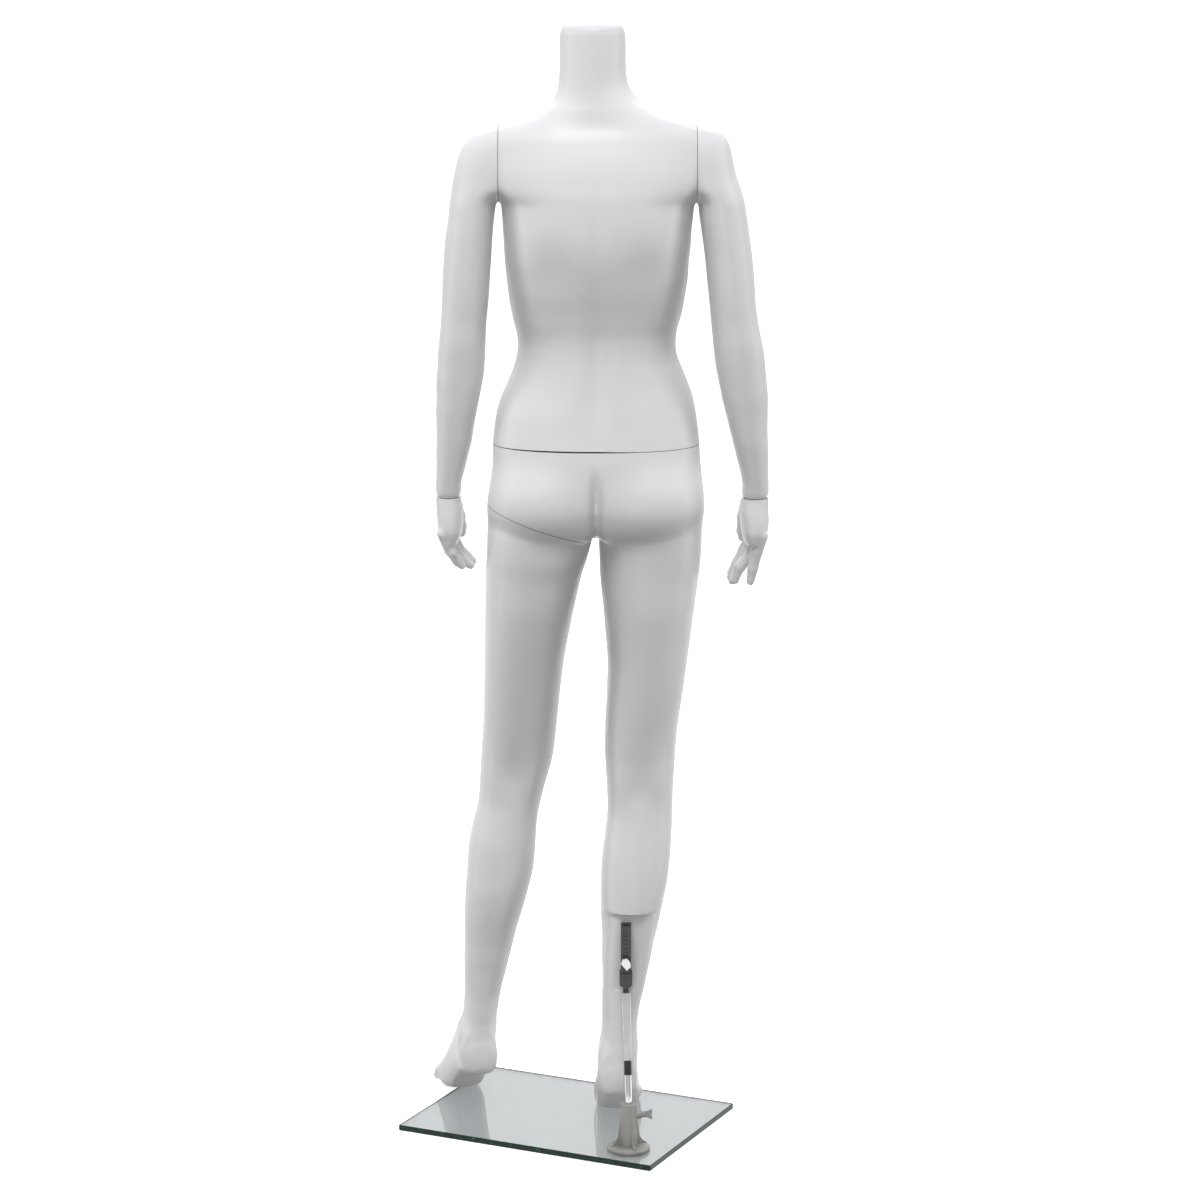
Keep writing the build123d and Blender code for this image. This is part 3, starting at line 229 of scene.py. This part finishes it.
def ball(x, y, z, c, r):
    dx, dy, dz = (x - c[0]) / r[0], (y - c[1]) / r[1], (z - c[2]) / r[2]
    rho = np.sqrt(dx * dx + dy * dy + dz * dz) + 1e-6
    w = np.sqrt((x - c[0]) ** 2 + (y - c[1]) ** 2 + (z - c[2]) ** 2)
    return np.where(rho < 0.08, -0.9 * min(r), w - w / rho)


def bone(x, y, z, p, q):
    """Tapered capsule between two points with radii."""
    p, q = np.array(p, float), np.array(q, float)
    v = q[:3] - p[:3]
    t = np.clip(((x - p[0]) * v[0] + (y - p[1]) * v[1] + (z - p[2]) * v[2]) / (v @ v), 0, 1)
    r = p[3] + (q[3] - p[3]) * t
    return np.sqrt((x - p[0] - t * v[0]) ** 2 + (y - p[1] - t * v[1]) ** 2 + (z - p[2] - t * v[2]) ** 2) - r


def bump(x, y, z, c, s, amount):
    return amount * np.exp(-((x - c[0]) / s[0]) ** 2 - ((y - c[1]) / s[1]) ** 2 - ((z - c[2]) / s[2]) ** 2)


def foot(heel, turn):
    t = np.array([list(r) for r in FOOT], float)
    dxy = (math.sin(math.radians(turn)), -math.cos(math.radians(turn)))

    def f(x, y, z):
        s = (x - heel[0]) * dxy[0] + (y - heel[1]) * dxy[1]
        c = (x - heel[0]) * -dxy[1] + (y - heel[1]) * dxy[0]
        sc = np.clip(s, t[0, 0], t[-1, 0])
        half, low, top = [np.interp(sc, t[:, 0], t[:, j]) for j in (1, 2, 3)]
        mid, b = (low + top) / 2, (top - low) / 2
        dz = z - mid
        n = np.where(dz < 0, 3.5, 2.0)
        rho = ((np.abs(c) / half) ** n + (np.abs(dz) / b) ** n + 1e-9) ** (1 / n)
        r = np.hypot(c, dz)
        d = np.where(rho < 0.08, -0.9 * np.minimum(half, b), r - r / rho)
        d = smax(d, np.maximum(t[0, 0] - s, s - t[-1, 0]), 6)
        side = 1.0 if turn else -1.0
        # toes: a broad big toe on the inner side, four shorter ones beside it
        inner = -side
        toes = [(inner * 17, 205, 10.5, 172), (inner * 2, 202, 7.8, 170), (-inner * 9.5, 197, 7.2, 166),
                (-inner * 19, 189, 6.8, 160), (-inner * 27, 179, 6.2, 152)]
        for cc, tip, rr, root in toes:
            d2 = bone(c, s, z, (cc * 0.92, root, 14 + rr, rr + 4), (cc, tip - rr, rr + 1.2, rr))
            d = smin(d, d2, 5)
        # ankle bones
        d -= bump(c, s, z, (inner * 27, 52, 138), (11, 12, 12), 4.0)
        d -= bump(c, s, z, (-inner * 26, 46, 130), (10, 11, 11), 3.6)
        return d
    return f


def tucked(table):
    """Thigh tables with the back drawn in under the buttocks."""
    out = []
    for z, right, left, front, back, power in table:
        q = 7 * min(1, max(0, (z - 815) / 35))
        out.append((z, right + q, left - q, front + q, back - 14 * min(1, max(0, (z - 730) / 90)) - q, power))
    return out


trunk, right_leg, left_leg = limb(TRUNK, 16), limb(tucked(RIGHT_LEG)), limb(tucked(LEFT_LEG))
left_arm, right_arm = limb(LEFT_ARM, 8), limb(RIGHT_ARM, 8)
right_foot, left_foot = foot(RIGHT_HEEL, RIGHT_TOE_OUT), foot(LEFT_HEEL, LEFT_TOE_OUT)


def chest(x, y, z):
    d = trunk(x, y, z)
    for side in (-1, 1):
        d = smin(d, ball(x, y, z, (side * 62, -78, 1170), (53, 50, 52)), 22)
        # shoulder blades with the hollows under them, flank hollows, back columns
        d -= bump(x, y, z, (side * 66, 92, 1236), (34, 34, 46), 3.6)
        d -= bump(x, y, z, (side * 84, 84, 1206), (26, 30, 36), 1.2)
        d -= bump(x, y, z, (side * 92, 80, 1296), (36, 34, 34), 1.8)
        d += bump(x, y, z, (side * 60, 94, 1172), (38, 30, 26), 1.6)
        d += bump(x, y, z, (side * 36, 92, 1255), (16, 28, 50), 1.0)
        d -= bump(x, y, z, (side * 27, 68, 1040), (15, 26, 80), 2.8)
        d += bump(x, y, z, (side * 38, 90, 966), (12, 18, 14), 0.8)
        # collar bones
        d -= bump(x, y, z, (side * 40, -54, 1352), (26, 14, 5.5), 3.2)
        d -= bump(x, y, z, (side * 82, -46, 1356), (26, 16, 6), 3.0)
        d += bump(x, y, z, (side * 60, -48, 1374), (26, 14, 10), 2.2)
        # ribs above the waist in front
        d += bump(x, y, z, (side * 50, -100, 1085), (26, 22, 22), 2.2)
        d -= bump(x, y, z, (side * 92, -66, 950), (20, 24, 28), 2.6)
    # furrow down the spine
    d += (1.6 * np.exp(-((z - 1150) / 170.0) ** 4) + 2.0 * np.exp(-((z - 1045) / 70.0) ** 2)) * np.exp(-(x / 13.0) ** 2) * np.clip((y - 20) / 30, 0, 1)
    d += bump(x, y, z, (6, -46, 1366), (9, 14, 9), 4.0)
    d += bump(x, y, z, (0, -103, 1012), (6, 14, 6.5), 4.5)
    d += 1.6 * np.exp(-(x / 10.0) ** 2) * np.clip((-y - 40) / 30, 0, 1) * np.exp(-((z - 1080) / 70.0) ** 4)
    return d


def arm(x, y, z, side):
    a = (left_arm if side > 0 else right_arm)(x, y, z)
    a -= bump(x, y, z, (side * 178, 40, 1066), (20, 20, 22), 1.2)
    a += bump(x, y, z, (side * 178, 40, 1104), (20, 18, 22), 0.6)
    a -= bump(x, y, z, (side * 176, -28, 1165), (20, 18, 46), 2.0)
    return a


def upper(x, y, z):
    d = chest(x, y, z)
    for side in (1, -1):
        d = smin(d, arm(x, y, z, side), 7)
    return smax(d, z - 1493.0, 17)


def torso_field(x, y, z):
    return np.where(z > 1200, upper(x, y, z), chest(x, y, z))


def arm_field(x, y, z):
    return np.where(z > 1200, upper(x, y, z), np.minimum(arm(x, y, z, 1), arm(x, y, z, -1)))


def lower(x, y, z):
    d = trunk(x, y, z)
    d = smin(d, ball(x, y, z, (-64, 44, 862), (68, 67, 56)), 26)
    d = smin(d, ball(x, y, z, (68, 44, 862), (68, 67, 56)), 26)
    # cleft
    d += 11.0 * np.exp(-((x - 2) / 7.0) ** 2) * np.clip((y - 30) / 40, 0, 1) * np.exp(-((z - 836) / 66.0) ** 4)
    rl, ll = right_leg(x, y, z), left_leg(x, y, z)
    for k, (leg, cx, cy) in enumerate(((rl, -57, 0), (ll, 115, -46))):
        # knee cap, hollow behind the knee with its two cords, calf heads
        leg -= bump(x, y, z, (cx, cy - 60, 482), (22, 20, 24), 3.4)
        leg += bump(x, y, z, (cx, cy - 60, 446), (20, 20, 12), 1.6)
        leg += bump(x, y, z, (cx, cy + 50, 476), (15, 18, 34), 3.0)
        leg -= bump(x, y, z, (cx - 28, cy + 38, 484), (9, 20, 34), 2.2)
        leg -= bump(x, y, z, (cx + 28, cy + 38, 484), (9, 20, 34), 2.2)
    rl += bump(x, y, z, (-46, 76, 345), (6, 30, 44), 1.2)
    ll += bump(x, y, z, (134, 20, 345), (6, 30, 44), 1.2)
    for x0, y0 in ((-30, 87), (163, 1)):
        c = bump(x, y, z, (x0 - 20, y0 - 12, 150), (11, 20, 34), 3.6) + bump(x, y, z, (x0 + 20, y0 - 12, 150), (11, 20, 34), 3.6)
        if x0 < 0:
            rl += c
        else:
            ll += c
    rf, lf = right_foot(x, y, z), left_foot(x, y, z)
    rl, ll = smin(rl, rf, 14), smin(ll, lf, 14)
    d = smin(smin(d, rl, 5), ll, 5)
    # folds under the buttocks
    for x0 in (-54, 62):
        fold = np.exp(-((x - x0) / 46.0) ** 4) * np.exp(-((z - 805 - 0.0022 * (x - x0) ** 2) / 7.5) ** 2)
        d += 0.5 * fold * np.clip((y - 40) / 30, 0, 1)
    return d


def lower_right(x, y, z):
    d = lower(x, y, z)
    # flat on the back of the calf with a soft ledge
    cut = np.maximum(np.maximum(RECESS_LOW - z, z - RECESS_TOP), np.maximum(RECESS_Y - y, np.abs(x - BRACKET_X) - 34))
    cut = np.where(np.abs(x - BRACKET_X) < 70, cut, 99.0)
    ledge = np.clip((RECESS_TOP + 1.5 - z) / 4.0, 0, 1) * np.clip((z - 225) / 80, 0, 1) * np.clip((y - 35) / 22, 0, 1)
    d = d + 5.0 * ledge * (np.abs(x + 46) < 60)
    return smax(d, -cut, 2.2)


def hand(palm, fingers, side):
    palm = limb(palm, 5)

    def f(x, y, z):
        d = palm(x, y, z)
        for i, chain in enumerate(fingers):
            g = None
            for p, q in zip(chain[:-1], chain[1:]):
                b = bone(x, y, z, p, q)
                g = b if g is None else smin(g, b, 3)
            d = smin(d, g, 2.6 if i < 4 else 8)
        return d
    return f


# ---------------------------------------------------------------------------
# Surface of a field: surface nets, then pulled onto the surface
# ---------------------------------------------------------------------------
def surface(field, lo, hi, h):
    lo = np.array(lo, float)
    n = np.ceil((np.array(hi, float) - lo) / h).astype(int) + 1
    ax = [lo[i] + np.arange(n[i]) * h for i in range(3)]
    F = np.empty(tuple(n), np.float32)
    for k0 in range(0, n[2], 24):
        zz = ax[2][k0:k0 + 24]
        X, Y, Z = np.meshgrid(ax[0], ax[1], zz, indexing="ij")
        F[:, :, k0:k0 + 24] = field(X, Y, Z)
    F = np.where(np.abs(F) < 1e-5, 1e-5, F)
    neg = F < 0
    m = tuple(n - 1)
    acc = np.zeros(m + (3,), np.float32)
    cnt = np.zeros(m, np.float32)
    quads = []
    for a in range(3):
        A = np.take(F, range(n[a] - 1), axis=a)
        B = np.take(F, range(1, n[a]), axis=a)
        cross = (A < 0) != (B < 0)
        t = np.where(cross, A / np.where(cross, A - B, 1), 0)
        u, v = [i for i in range(3) if i != a]
        idx = np.argwhere(cross)
        tt = t[tuple(idx.T)]
        pos = idx.astype(np.float32)
        pos[:, a] += tt
        for du in (0, 1):
            for dv in (0, 1):
                cell = idx.copy()
                cell[:, u] -= du
                cell[:, v] -= dv
                ok = np.all((cell >= 0) & (cell < np.array(m)), axis=1)
                c = cell[ok]
                np.add.at(acc, tuple(c.T), pos[ok])
                np.add.at(cnt, tuple(c.T), 1)
        inner = (idx[:, u] > 0) & (idx[:, v] > 0) & (idx[:, u] < m[u]) & (idx[:, v] < m[v])
        e = idx[inner]
        first = A[tuple(e.T)] < 0
        quads.append((a, u, v, e, first))
    used = cnt > 0
    number = np.full(m, -1, np.int64)
    number[used] = np.arange(int(used.sum()))
    verts = acc[used] / cnt[used][:, None] * h + lo
    faces = []
    for a, u, v, e, first in quads:
        def cell(du, dv):
            c = e.copy()
            c[:, u] -= du
            c[:, v] -= dv
            return number[tuple(c.T)]
        q = np.stack([cell(1, 1), cell(0, 1), cell(0, 0), cell(1, 0)], axis=1)
        flip = first if a != 1 else ~first
        q[~flip] = q[~flip][:, ::-1]
        faces.append(q)
    faces = np.concatenate(faces)
    for _ in range(3):
        e = 0.6
        x, y, z = verts.T
        g = np.stack([field(x + e, y, z) - field(x - e, y, z),
                      field(x, y + e, z) - field(x, y - e, z),
                      field(x, y, z + e) - field(x, y, z - e)], axis=1) / (2 * e)
        val = field(x, y, z)
        step = (val / np.maximum((g * g).sum(1), 0.15))[:, None] * g
        far = np.linalg.norm(step, axis=1, keepdims=True)
        verts = verts - step * np.minimum(1, 0.5 * h / np.maximum(far, 1e-6))
    return verts, faces


def to_bm(verts, faces):
    me = bpy.data.meshes.new("tmp")
    v = np.empty_like(verts, dtype=np.float64)
    v[:, 0], v[:, 1], v[:, 2] = (verts[:, 0] + MID) / 1000, verts[:, 1] / 1000, (verts[:, 2] + FLOOR) / 1000
    me.from_pydata(v.tolist(), [], faces.tolist())
    bm = bmesh.new()
    bm.from_mesh(me)
    bpy.data.meshes.remove(me)
    return bm


def cut(bm, co, no, keep_above, only=None, face=1):
    """Cut with a plane given in body mm, dropping one side, and close the hole; the cap gets material slot face, by
    default slot 1, the dark painted shade of the seam gap.
    """
    co = Vector(((co[0] + MID) / 1000, co[1] / 1000, (co[2] + FLOOR) / 1000))
    faces = [f for f in bm.faces if only is None or only(f.calc_center_median())]
    geom = set(faces)
    for f in faces:
        geom.update(f.edges)
        geom.update(f.verts)
    bmesh.ops.bisect_plane(bm, geom=list(geom), plane_co=co, plane_no=Vector(no), dist=1e-6,
                           clear_inner=keep_above, clear_outer=not keep_above)
    n = Vector(no).normalized()
    edges = [e for e in bm.edges if e.is_boundary and all(abs((v.co - co).dot(n)) < 2e-5 for v in e.verts)]
    if edges:
        # caps in slot 1 are dark painted shade standing in for the shadow inside the seam gap
        for filled in bmesh.ops.holes_fill(bm, edges=edges, sides=0)["faces"]:
            filled.material_index = face


def piece(name, bm, body, nodes, material):
    # loose crumbs go
    bmesh.ops.delete(bm, geom=[v for v in bm.verts if not v.link_faces], context="VERTS")
    bmesh.ops.recalc_face_normals(bm, faces=bm.faces)
    for f in bm.faces:
        f.smooth = len(f.verts) <= 5
    for e in bm.edges:
        if len(e.link_faces) == 2 and e.calc_face_angle(0) > 0.7:
            e.smooth = False
    me = bpy.data.meshes.new(name)
    bm.to_mesh(me)
    bm.free()
    me.materials.append(material)
    # slot 1: dark painted shade for the seam-gap caps
    me.materials.append(seam_gap_painted_shade)
    ob = bpy.data.objects.new(name, me)
    bpy.context.scene.collection.objects.link(ob)
    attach(ob, body)
    if nodes:
        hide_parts(*nodes)
    return ob


# ---------------------------------------------------------------------------
# Materials
# ---------------------------------------------------------------------------
def new_material(name):
    m = bpy.data.materials.new(name)
    m.use_nodes = True
    nt = m.node_tree
    return m, nt, nt.nodes["Principled BSDF"]


def coords(nt, scale=1.0):
    tc = nt.nodes.new("ShaderNodeTexCoord")
    return tc.outputs["Object"]


def noise(nt, scale, detail=3.0, rough=0.5):
    n = nt.nodes.new("ShaderNodeTexNoise")
    n.inputs["Scale"].default_value = scale
    n.inputs["Detail"].default_value = detail
    n.inputs["Roughness"].default_value = rough
    nt.links.new(coords(nt), n.inputs["Vector"])
    return n.outputs["Fac"]


def ramp(nt, fac, stops):
    r = nt.nodes.new("ShaderNodeValToRGB")
    cr = r.color_ramp
    while len(cr.elements) < len(stops):
        cr.elements.new(0.5)
    for e, (p, c) in zip(cr.elements, stops):
        e.position = p
        e.color = (c[0], c[1], c[2], 1) if len(c) == 3 else c
    nt.links.new(fac, r.inputs["Fac"])
    return r.outputs["Color"]


def spread(nt, fac, lo, hi):
    m = nt.nodes.new("ShaderNodeMapRange")
    m.inputs["To Min"].default_value = lo
    m.inputs["To Max"].default_value = hi
    nt.links.new(fac, m.inputs["Value"])
    return m.outputs["Result"]


def bumpy(nt, bsdf, fac, strength, distance):
    b = nt.nodes.new("ShaderNodeBump")
    b.inputs["Strength"].default_value = strength
    b.inputs["Distance"].default_value = distance
    nt.links.new(fac, b.inputs["Height"])
    nt.links.new(b.outputs["Normal"], bsdf.inputs["Normal"])


def shell_white(name, base, tint):
    m, nt, b = new_material(name)
    c = ramp(nt, noise(nt, 3.5, 2), [(0.3, [v * 0.985 for v in base]), (0.7, base)])
    nt.links.new(c, b.inputs["Base Color"])
    nt.links.new(spread(nt, noise(nt, 14, 4), 0.36, 0.46), b.inputs["Roughness"])
    b.inputs["Specular IOR Level"].default_value = 0.32
    b.inputs["Coat Weight"].default_value = 0.08
    b.inputs["Coat Roughness"].default_value = 0.15
    bumpy(nt, b, noise(nt, 420, 2), 0.04, 0.0004)
    return m


def metal(name, base, rough, metallic=1.0, grain=900.0, strength=0.06, coat=0.0):
    m, nt, b = new_material(name)
    c = ramp(nt, noise(nt, 60, 4), [(0.3, [v * 0.86 for v in base]), (0.7, base)])
    nt.links.new(c, b.inputs["Base Color"])
    nt.links.new(spread(nt, noise(nt, 140, 4), rough * 0.8, rough * 1.2), b.inputs["Roughness"])
    b.inputs["Metallic"].default_value = metallic
    if coat:
        b.inputs["Coat Weight"].default_value = coat
    bumpy(nt, b, noise(nt, grain, 3), strength, 0.0004)
    return m


def glass_material():
    m, nt, b = new_material("clear_glass")
    b.inputs["Base Color"].default_value = (0.44, 0.458, 0.466, 1)
    b.inputs["Transmission Weight"].default_value = 1.0
    b.inputs["IOR"].default_value = 1.5
    nt.links.new(spread(nt, noise(nt, 9, 3), 0.01, 0.045), b.inputs["Roughness"])
    # ground edge: dark green with bright chips along the arris
    edge = nt.nodes.new("ShaderNodeBsdfPrincipled")
    c = ramp(nt, noise(nt, 260, 3), [(0.35, (0.002, 0.010, 0.006)), (0.62, (0.005, 0.032, 0.019)), (0.80, (0.05, 0.24, 0.14))])
    nt.links.new(c, edge.inputs["Base Color"])
    edge.inputs["Roughness"].default_value = 0.35
    edge.inputs["Specular IOR Level"].default_value = 0.25
    geo = nt.nodes.new("ShaderNodeNewGeometry")
    tr = nt.nodes.new("ShaderNodeVectorTransform")
    tr.vector_type, tr.convert_from, tr.convert_to = "NORMAL", "WORLD", "OBJECT"
    nt.links.new(geo.outputs["True Normal"], tr.inputs["Vector"])
    sep = nt.nodes.new("ShaderNodeSeparateXYZ")
    nt.links.new(tr.outputs["Vector"], sep.inputs["Vector"])
    ab = nt.nodes.new("ShaderNodeMath")
    ab.operation = "ABSOLUTE"
    nt.links.new(sep.outputs["Z"], ab.inputs[0])
    lt = nt.nodes.new("ShaderNodeMath")
    lt.operation = "LESS_THAN"
    lt.inputs[1].default_value = 0.9
    nt.links.new(ab.outputs[0], lt.inputs[0])
    mix = nt.nodes.new("ShaderNodeMixShader")
    nt.links.new(lt.outputs[0], mix.inputs["Fac"])
    nt.links.new(b.outputs[0], mix.inputs[1])
    nt.links.new(edge.outputs[0], mix.inputs[2])
    out = [n for n in nt.nodes if n.type == "OUTPUT_MATERIAL"][0]
    nt.links.new(mix.outputs[0], out.inputs["Surface"])
    return m


white = shell_white("shell_white", (0.80, 0.80, 0.81), 0)
hand_white = shell_white("hand_white", (0.79, 0.79, 0.80), 0)
cap_white = shell_white("cap_white", (0.78, 0.78, 0.79), 0)
# dark grey on the cut caps of the body pieces: painted shade of the seam gaps
seam_gap_painted_shade = metal("seam_gap_painted_shade", (0.10, 0.10, 0.10), 0.7, metallic=0.0)
steel = metal("zinc_steel", (0.62, 0.62, 0.63), 0.32)
# silver metal tone plus painted reflection: the light, mostly diffuse grey stands in for the bright surroundings a
# chrome rod mirrors
silver_with_painted_reflection = metal("silver_with_painted_reflection", (0.74, 0.74, 0.75), 0.22, metallic=0.55, strength=0.015)
cast = metal("cast_grey", (0.33, 0.325, 0.305), 0.46, metallic=0.25, grain=600, strength=0.16, coat=0.15)
screw_grey = metal("screw_grey", (0.29, 0.285, 0.275), 0.42, metallic=0.3, grain=700, strength=0.12)
screw_light = metal("screw_light", (0.66, 0.66, 0.66), 0.35, metallic=0.8)
charcoal = metal("charcoal", (0.050, 0.047, 0.048), 0.38, metallic=0.3, grain=500, strength=0.1)
black_plastic = metal("black_plastic", (0.02, 0.02, 0.022), 0.45, metallic=0.0)
nylon = metal("nylon", (0.7, 0.7, 0.68), 0.5, metallic=0.0)
rubber = metal("rubber", (0.018, 0.018, 0.018), 0.65, metallic=0.0)
glass = glass_material()

CAD = {
    "glass_base": glass, "base_sleeve": nylon, "base_bolt": steel, "socket_gasket": rubber,
    "base_socket": cast, "base_wing_screw": screw_grey, "support_post": silver_with_painted_reflection, "post_collar": rubber,
    "support_rod": silver_with_painted_reflection, "rod_tongue": charcoal, "calf_bracket": charcoal, "bracket_guide": charcoal,
    "calf_backing_plate": steel, "bracket_screws": steel, "calf_thumb_screw": screw_light,
    "left_wrist_bush": black_plastic, "right_wrist_bush": black_plastic, "left_wrist_pin": steel, "right_wrist_pin": steel,
    "left_shoulder_socket": black_plastic, "right_shoulder_socket": black_plastic,
    "left_shoulder_stud": steel, "right_shoulder_stud": steel, "waist_socket": black_plastic, "waist_peg": steel,
    "left_hip_socket": black_plastic, "left_hip_stud": steel,
}
for node, mat in CAD.items():
    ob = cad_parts[node]
    ob = ob if hasattr(ob, "data") else bpy.data.objects[node]
    if not ob.material_slots:
        ob.data.materials.append(mat)
    for s in ob.material_slots:
        s.material = mat

# ---------------------------------------------------------------------------
# Sculpted body pieces
# ---------------------------------------------------------------------------
SKIN = 0.35                                        # half seam gap of the visible shells
H = 3.2

# the arms are their own pieces below the armpits, so the trunk stands alone there
v, f = surface(torso_field, (-150, -140, 930), (150, 112, 1500), H)
bm = to_bm(v, f)
cut(bm, (SHOULDER_X - SKIN, 0, 0), (1, 0, 0), False, only=lambda c: c.z > 1.2)
cut(bm, (-SHOULDER_X + SKIN, 0, 0), (1, 0, 0), True, only=lambda c: c.z > 1.2)
cut(bm, (0, 0, WAIST_Z + SKIN), (0, 0, 1), True)
cut(bm, (0, 0, NECK_Z), (0, 0, 1), False, face=0)
for vt in bm.verts:
    up = vt.co.z * 1000 - FLOOR - WAIST_Z
    if up < 10:
        xb = vt.co.x * 1000 - MID
        vt.co.z += 0.0013 * (1 - up / 10) * math.exp(-((xb - 40) / 75) ** 4)
piece("torso", bm, "torso", ["torso_shell"], white)

NECK = limb([(1440, -37, 50, -48, 46, 2.0), (1465, -37, 50, -49, 45, 2.0), (1486, -36, 49, -49, 44, 2.0), (1520, -36, 49, -49, 44, 2.0)])
v, f = surface(lambda x, y, z: smax(NECK(x, y, z), z - 1493.0, 17), (-46, -60, 1478), (60, 56, 1497), 2.0)
bm = to_bm(v, f)
cut(bm, (0, 0, NECK_Z + 0.1), (0, 0, 1), True, face=0)
piece("neck_top", bm, "torso", ["neck_cap"], cap_white)

for side, name in ((1, "left"), (-1, "right")):
    lo, hi = ((126, -64, 852), (226, 62, 1366)) if side > 0 else ((-238, -56, 852), (-126, 62, 1366))
    v, f = surface(arm_field, lo, hi, 2.8)
    bm = to_bm(v, f)
    cut(bm, (side * (SHOULDER_X + SKIN), 0, 0), (1, 0, 0), side > 0)
    cut(bm, (0, 0, WRIST_Z + 0.15), (0, 0, 1), True, face=0)
    piece(name + "_arm", bm, name + "_arm", [name + "_arm_shell"], white)

for side, name, palm, fingers in ((1, "left", LEFT_PALM, LEFT_FINGERS), (-1, "right", RIGHT_PALM, RIGHT_FINGERS)):
    lo, hi = ((160, -106, 734), (228, 12, 868)) if side > 0 else ((-240, -94, 722), (-176, 24, 868))
    palm = palm + [(870, palm[-1][1], palm[-1][2], palm[-1][3], palm[-1][4], 2.0)]
    v, f = surface(hand(palm, fingers, side), lo, hi, 1.6)
    bm = to_bm(v, f)
    cut(bm, (0, 0, WRIST_Z - 0.15), (0, 0, 1), False, face=0)
    piece(name + "_hand_skin", bm, name + "_hand_body", [name + "_hand"], hand_white)

n = Vector((-HIP_SLOPE, 0, 1)).normalized()
v, f = surface(lower_right, (-150, -112, -3), (160, 128, 946), 3.0)
full = to_bm(v, f)
cut(full, (0, 0, WAIST_Z - SKIN), (0, 0, 1), False)
limit = (2.5 + MID) / 1000
cut(full, (HIP_X + n.x * SKIN, 0, HIP_Z + n.z * SKIN), n, True, only=lambda c: c.x > limit)
piece("lower_body_skin", full, "lower_body", ["lower_body_shell"], white)

v, f = surface(lower, (2, -200, -3), (236, 128, 880), 3.0)
leg = to_bm(v, f)
cut(leg, (HIP_X - n.x * SKIN, 0, HIP_Z - n.z * SKIN), n, False)
piece("left_leg_skin", leg, "lower_body", ["left_leg_shell"], white)

# ---------------------------------------------------------------------------
# Stage: pale floor and backdrop, soft light, camera
# ---------------------------------------------------------------------------
sm, nt, b = new_material("studio_floor")
b.inputs["Base Color"].default_value = (0.90, 0.90, 0.90, 1)
b.inputs["Roughness"].default_value = 0.8
nt.links.new(ramp(nt, noise(nt, 0.7, 2), [(0.3, (0.89, 0.89, 0.89)), (0.7, (0.91, 0.91, 0.91))]), b.inputs["Base Color"])
b.inputs["Emission Color"].default_value = (1, 1, 1, 1)
b.inputs["Emission Strength"].default_value = 0.75
me = bpy.data.meshes.new("studio_floor")
bm = bmesh.new()
prof = [(40.0, 0.0), (-7.0, 0.0)] + [(-7.0 - 1.6 * math.sin(a), 1.6 - 1.6 * math.cos(a)) for a in [i * math.pi / 24 for i in range(1, 13)]] + [(-8.6, 12.0)]
rows = [[bm.verts.new((x, y, z - 0.0005)) for y, z in prof] for x in (-40.0, 40.0)]
for i in range(len(prof) - 1):
    bm.faces.new((rows[0][i], rows[0][i + 1], rows[1][i + 1], rows[1][i])).smooth = True
bmesh.ops.recalc_face_normals(bm, faces=bm.faces)
bm.to_mesh(me)
bm.free()
me.materials.append(sm)
floor = bpy.data.objects.new("studio_floor", me)
bpy.context.scene.collection.objects.link(floor)
floor.visible_diffuse = False

world = bpy.data.worlds.new("studio")
bpy.context.scene.world = world
world.use_nodes = True
wn = world.node_tree
wc = wn.nodes.new("ShaderNodeTexCoord")
ws = wn.nodes.new("ShaderNodeSeparateXYZ")
wr = wn.nodes.new("ShaderNodeMapRange")
wr.inputs["From Min"].default_value = -1.0
wr.inputs["To Min"].default_value = 0.05
wr.inputs["To Max"].default_value = 0.50
wn.links.new(wc.outputs["Generated"], ws.inputs["Vector"])
wn.links.new(ws.outputs["Z"], wr.inputs["Value"])
wn.nodes["Background"].inputs["Color"].default_value = (0.985, 0.985, 1.0, 1)
wn.links.new(wr.outputs["Result"], wn.nodes["Background"].inputs["Strength"])
bpy.context.scene.view_settings.view_transform = "Standard"


def area(name, loc, target, size, power, sy=None):
    la = bpy.data.lights.new(name, "AREA")
    la.energy = power
    la.shape = "RECTANGLE"
    la.size = size
    la.size_y = sy or size
    ob = bpy.data.objects.new(name, la)
    ob.location = loc
    ob.rotation_euler = (Vector(target) - Vector(loc)).to_track_quat("-Z", "Y").to_euler()
    bpy.context.scene.collection.objects.link(ob)
    return ob


area("strip_left", (1.7, -0.1, 1.25), (0, 0, 1.0), 0.35, 9, 2.4)
area("strip_right", (-1.7, -0.1, 1.25), (0, 0, 1.0), 0.35, 9, 2.4)
area("key_top", (0.2, 1.9, 3.9), (0, 0, 1.0), 1.4, 66, 1.1)
area("fill_back", (0.5, 4.2, 1.0), (0, 0, 0.6), 2.0, 20, 1.4)
area("backdrop_wash", (0, -2.4, 4.2), (0, -5.6, 0.8), 3.4, 135, 1.8)
area("floor_wash", (0, -2.4, 3.4), (0, -3.4, 0.0), 3.6, 60, 1.4)

cam = bpy.data.cameras.new("camera")
cam.lens = 108
cam.sensor_width = 36
cam.sensor_fit = "HORIZONTAL"
cob = bpy.data.objects.new("camera", cam)
cob.location = (-0.0451, 4.755, 1.665)
cob.rotation_euler = (math.radians(90 - 11.09), 0, math.radians(180))
bpy.context.scene.collection.objects.link(cob)
bpy.context.scene.camera = cob
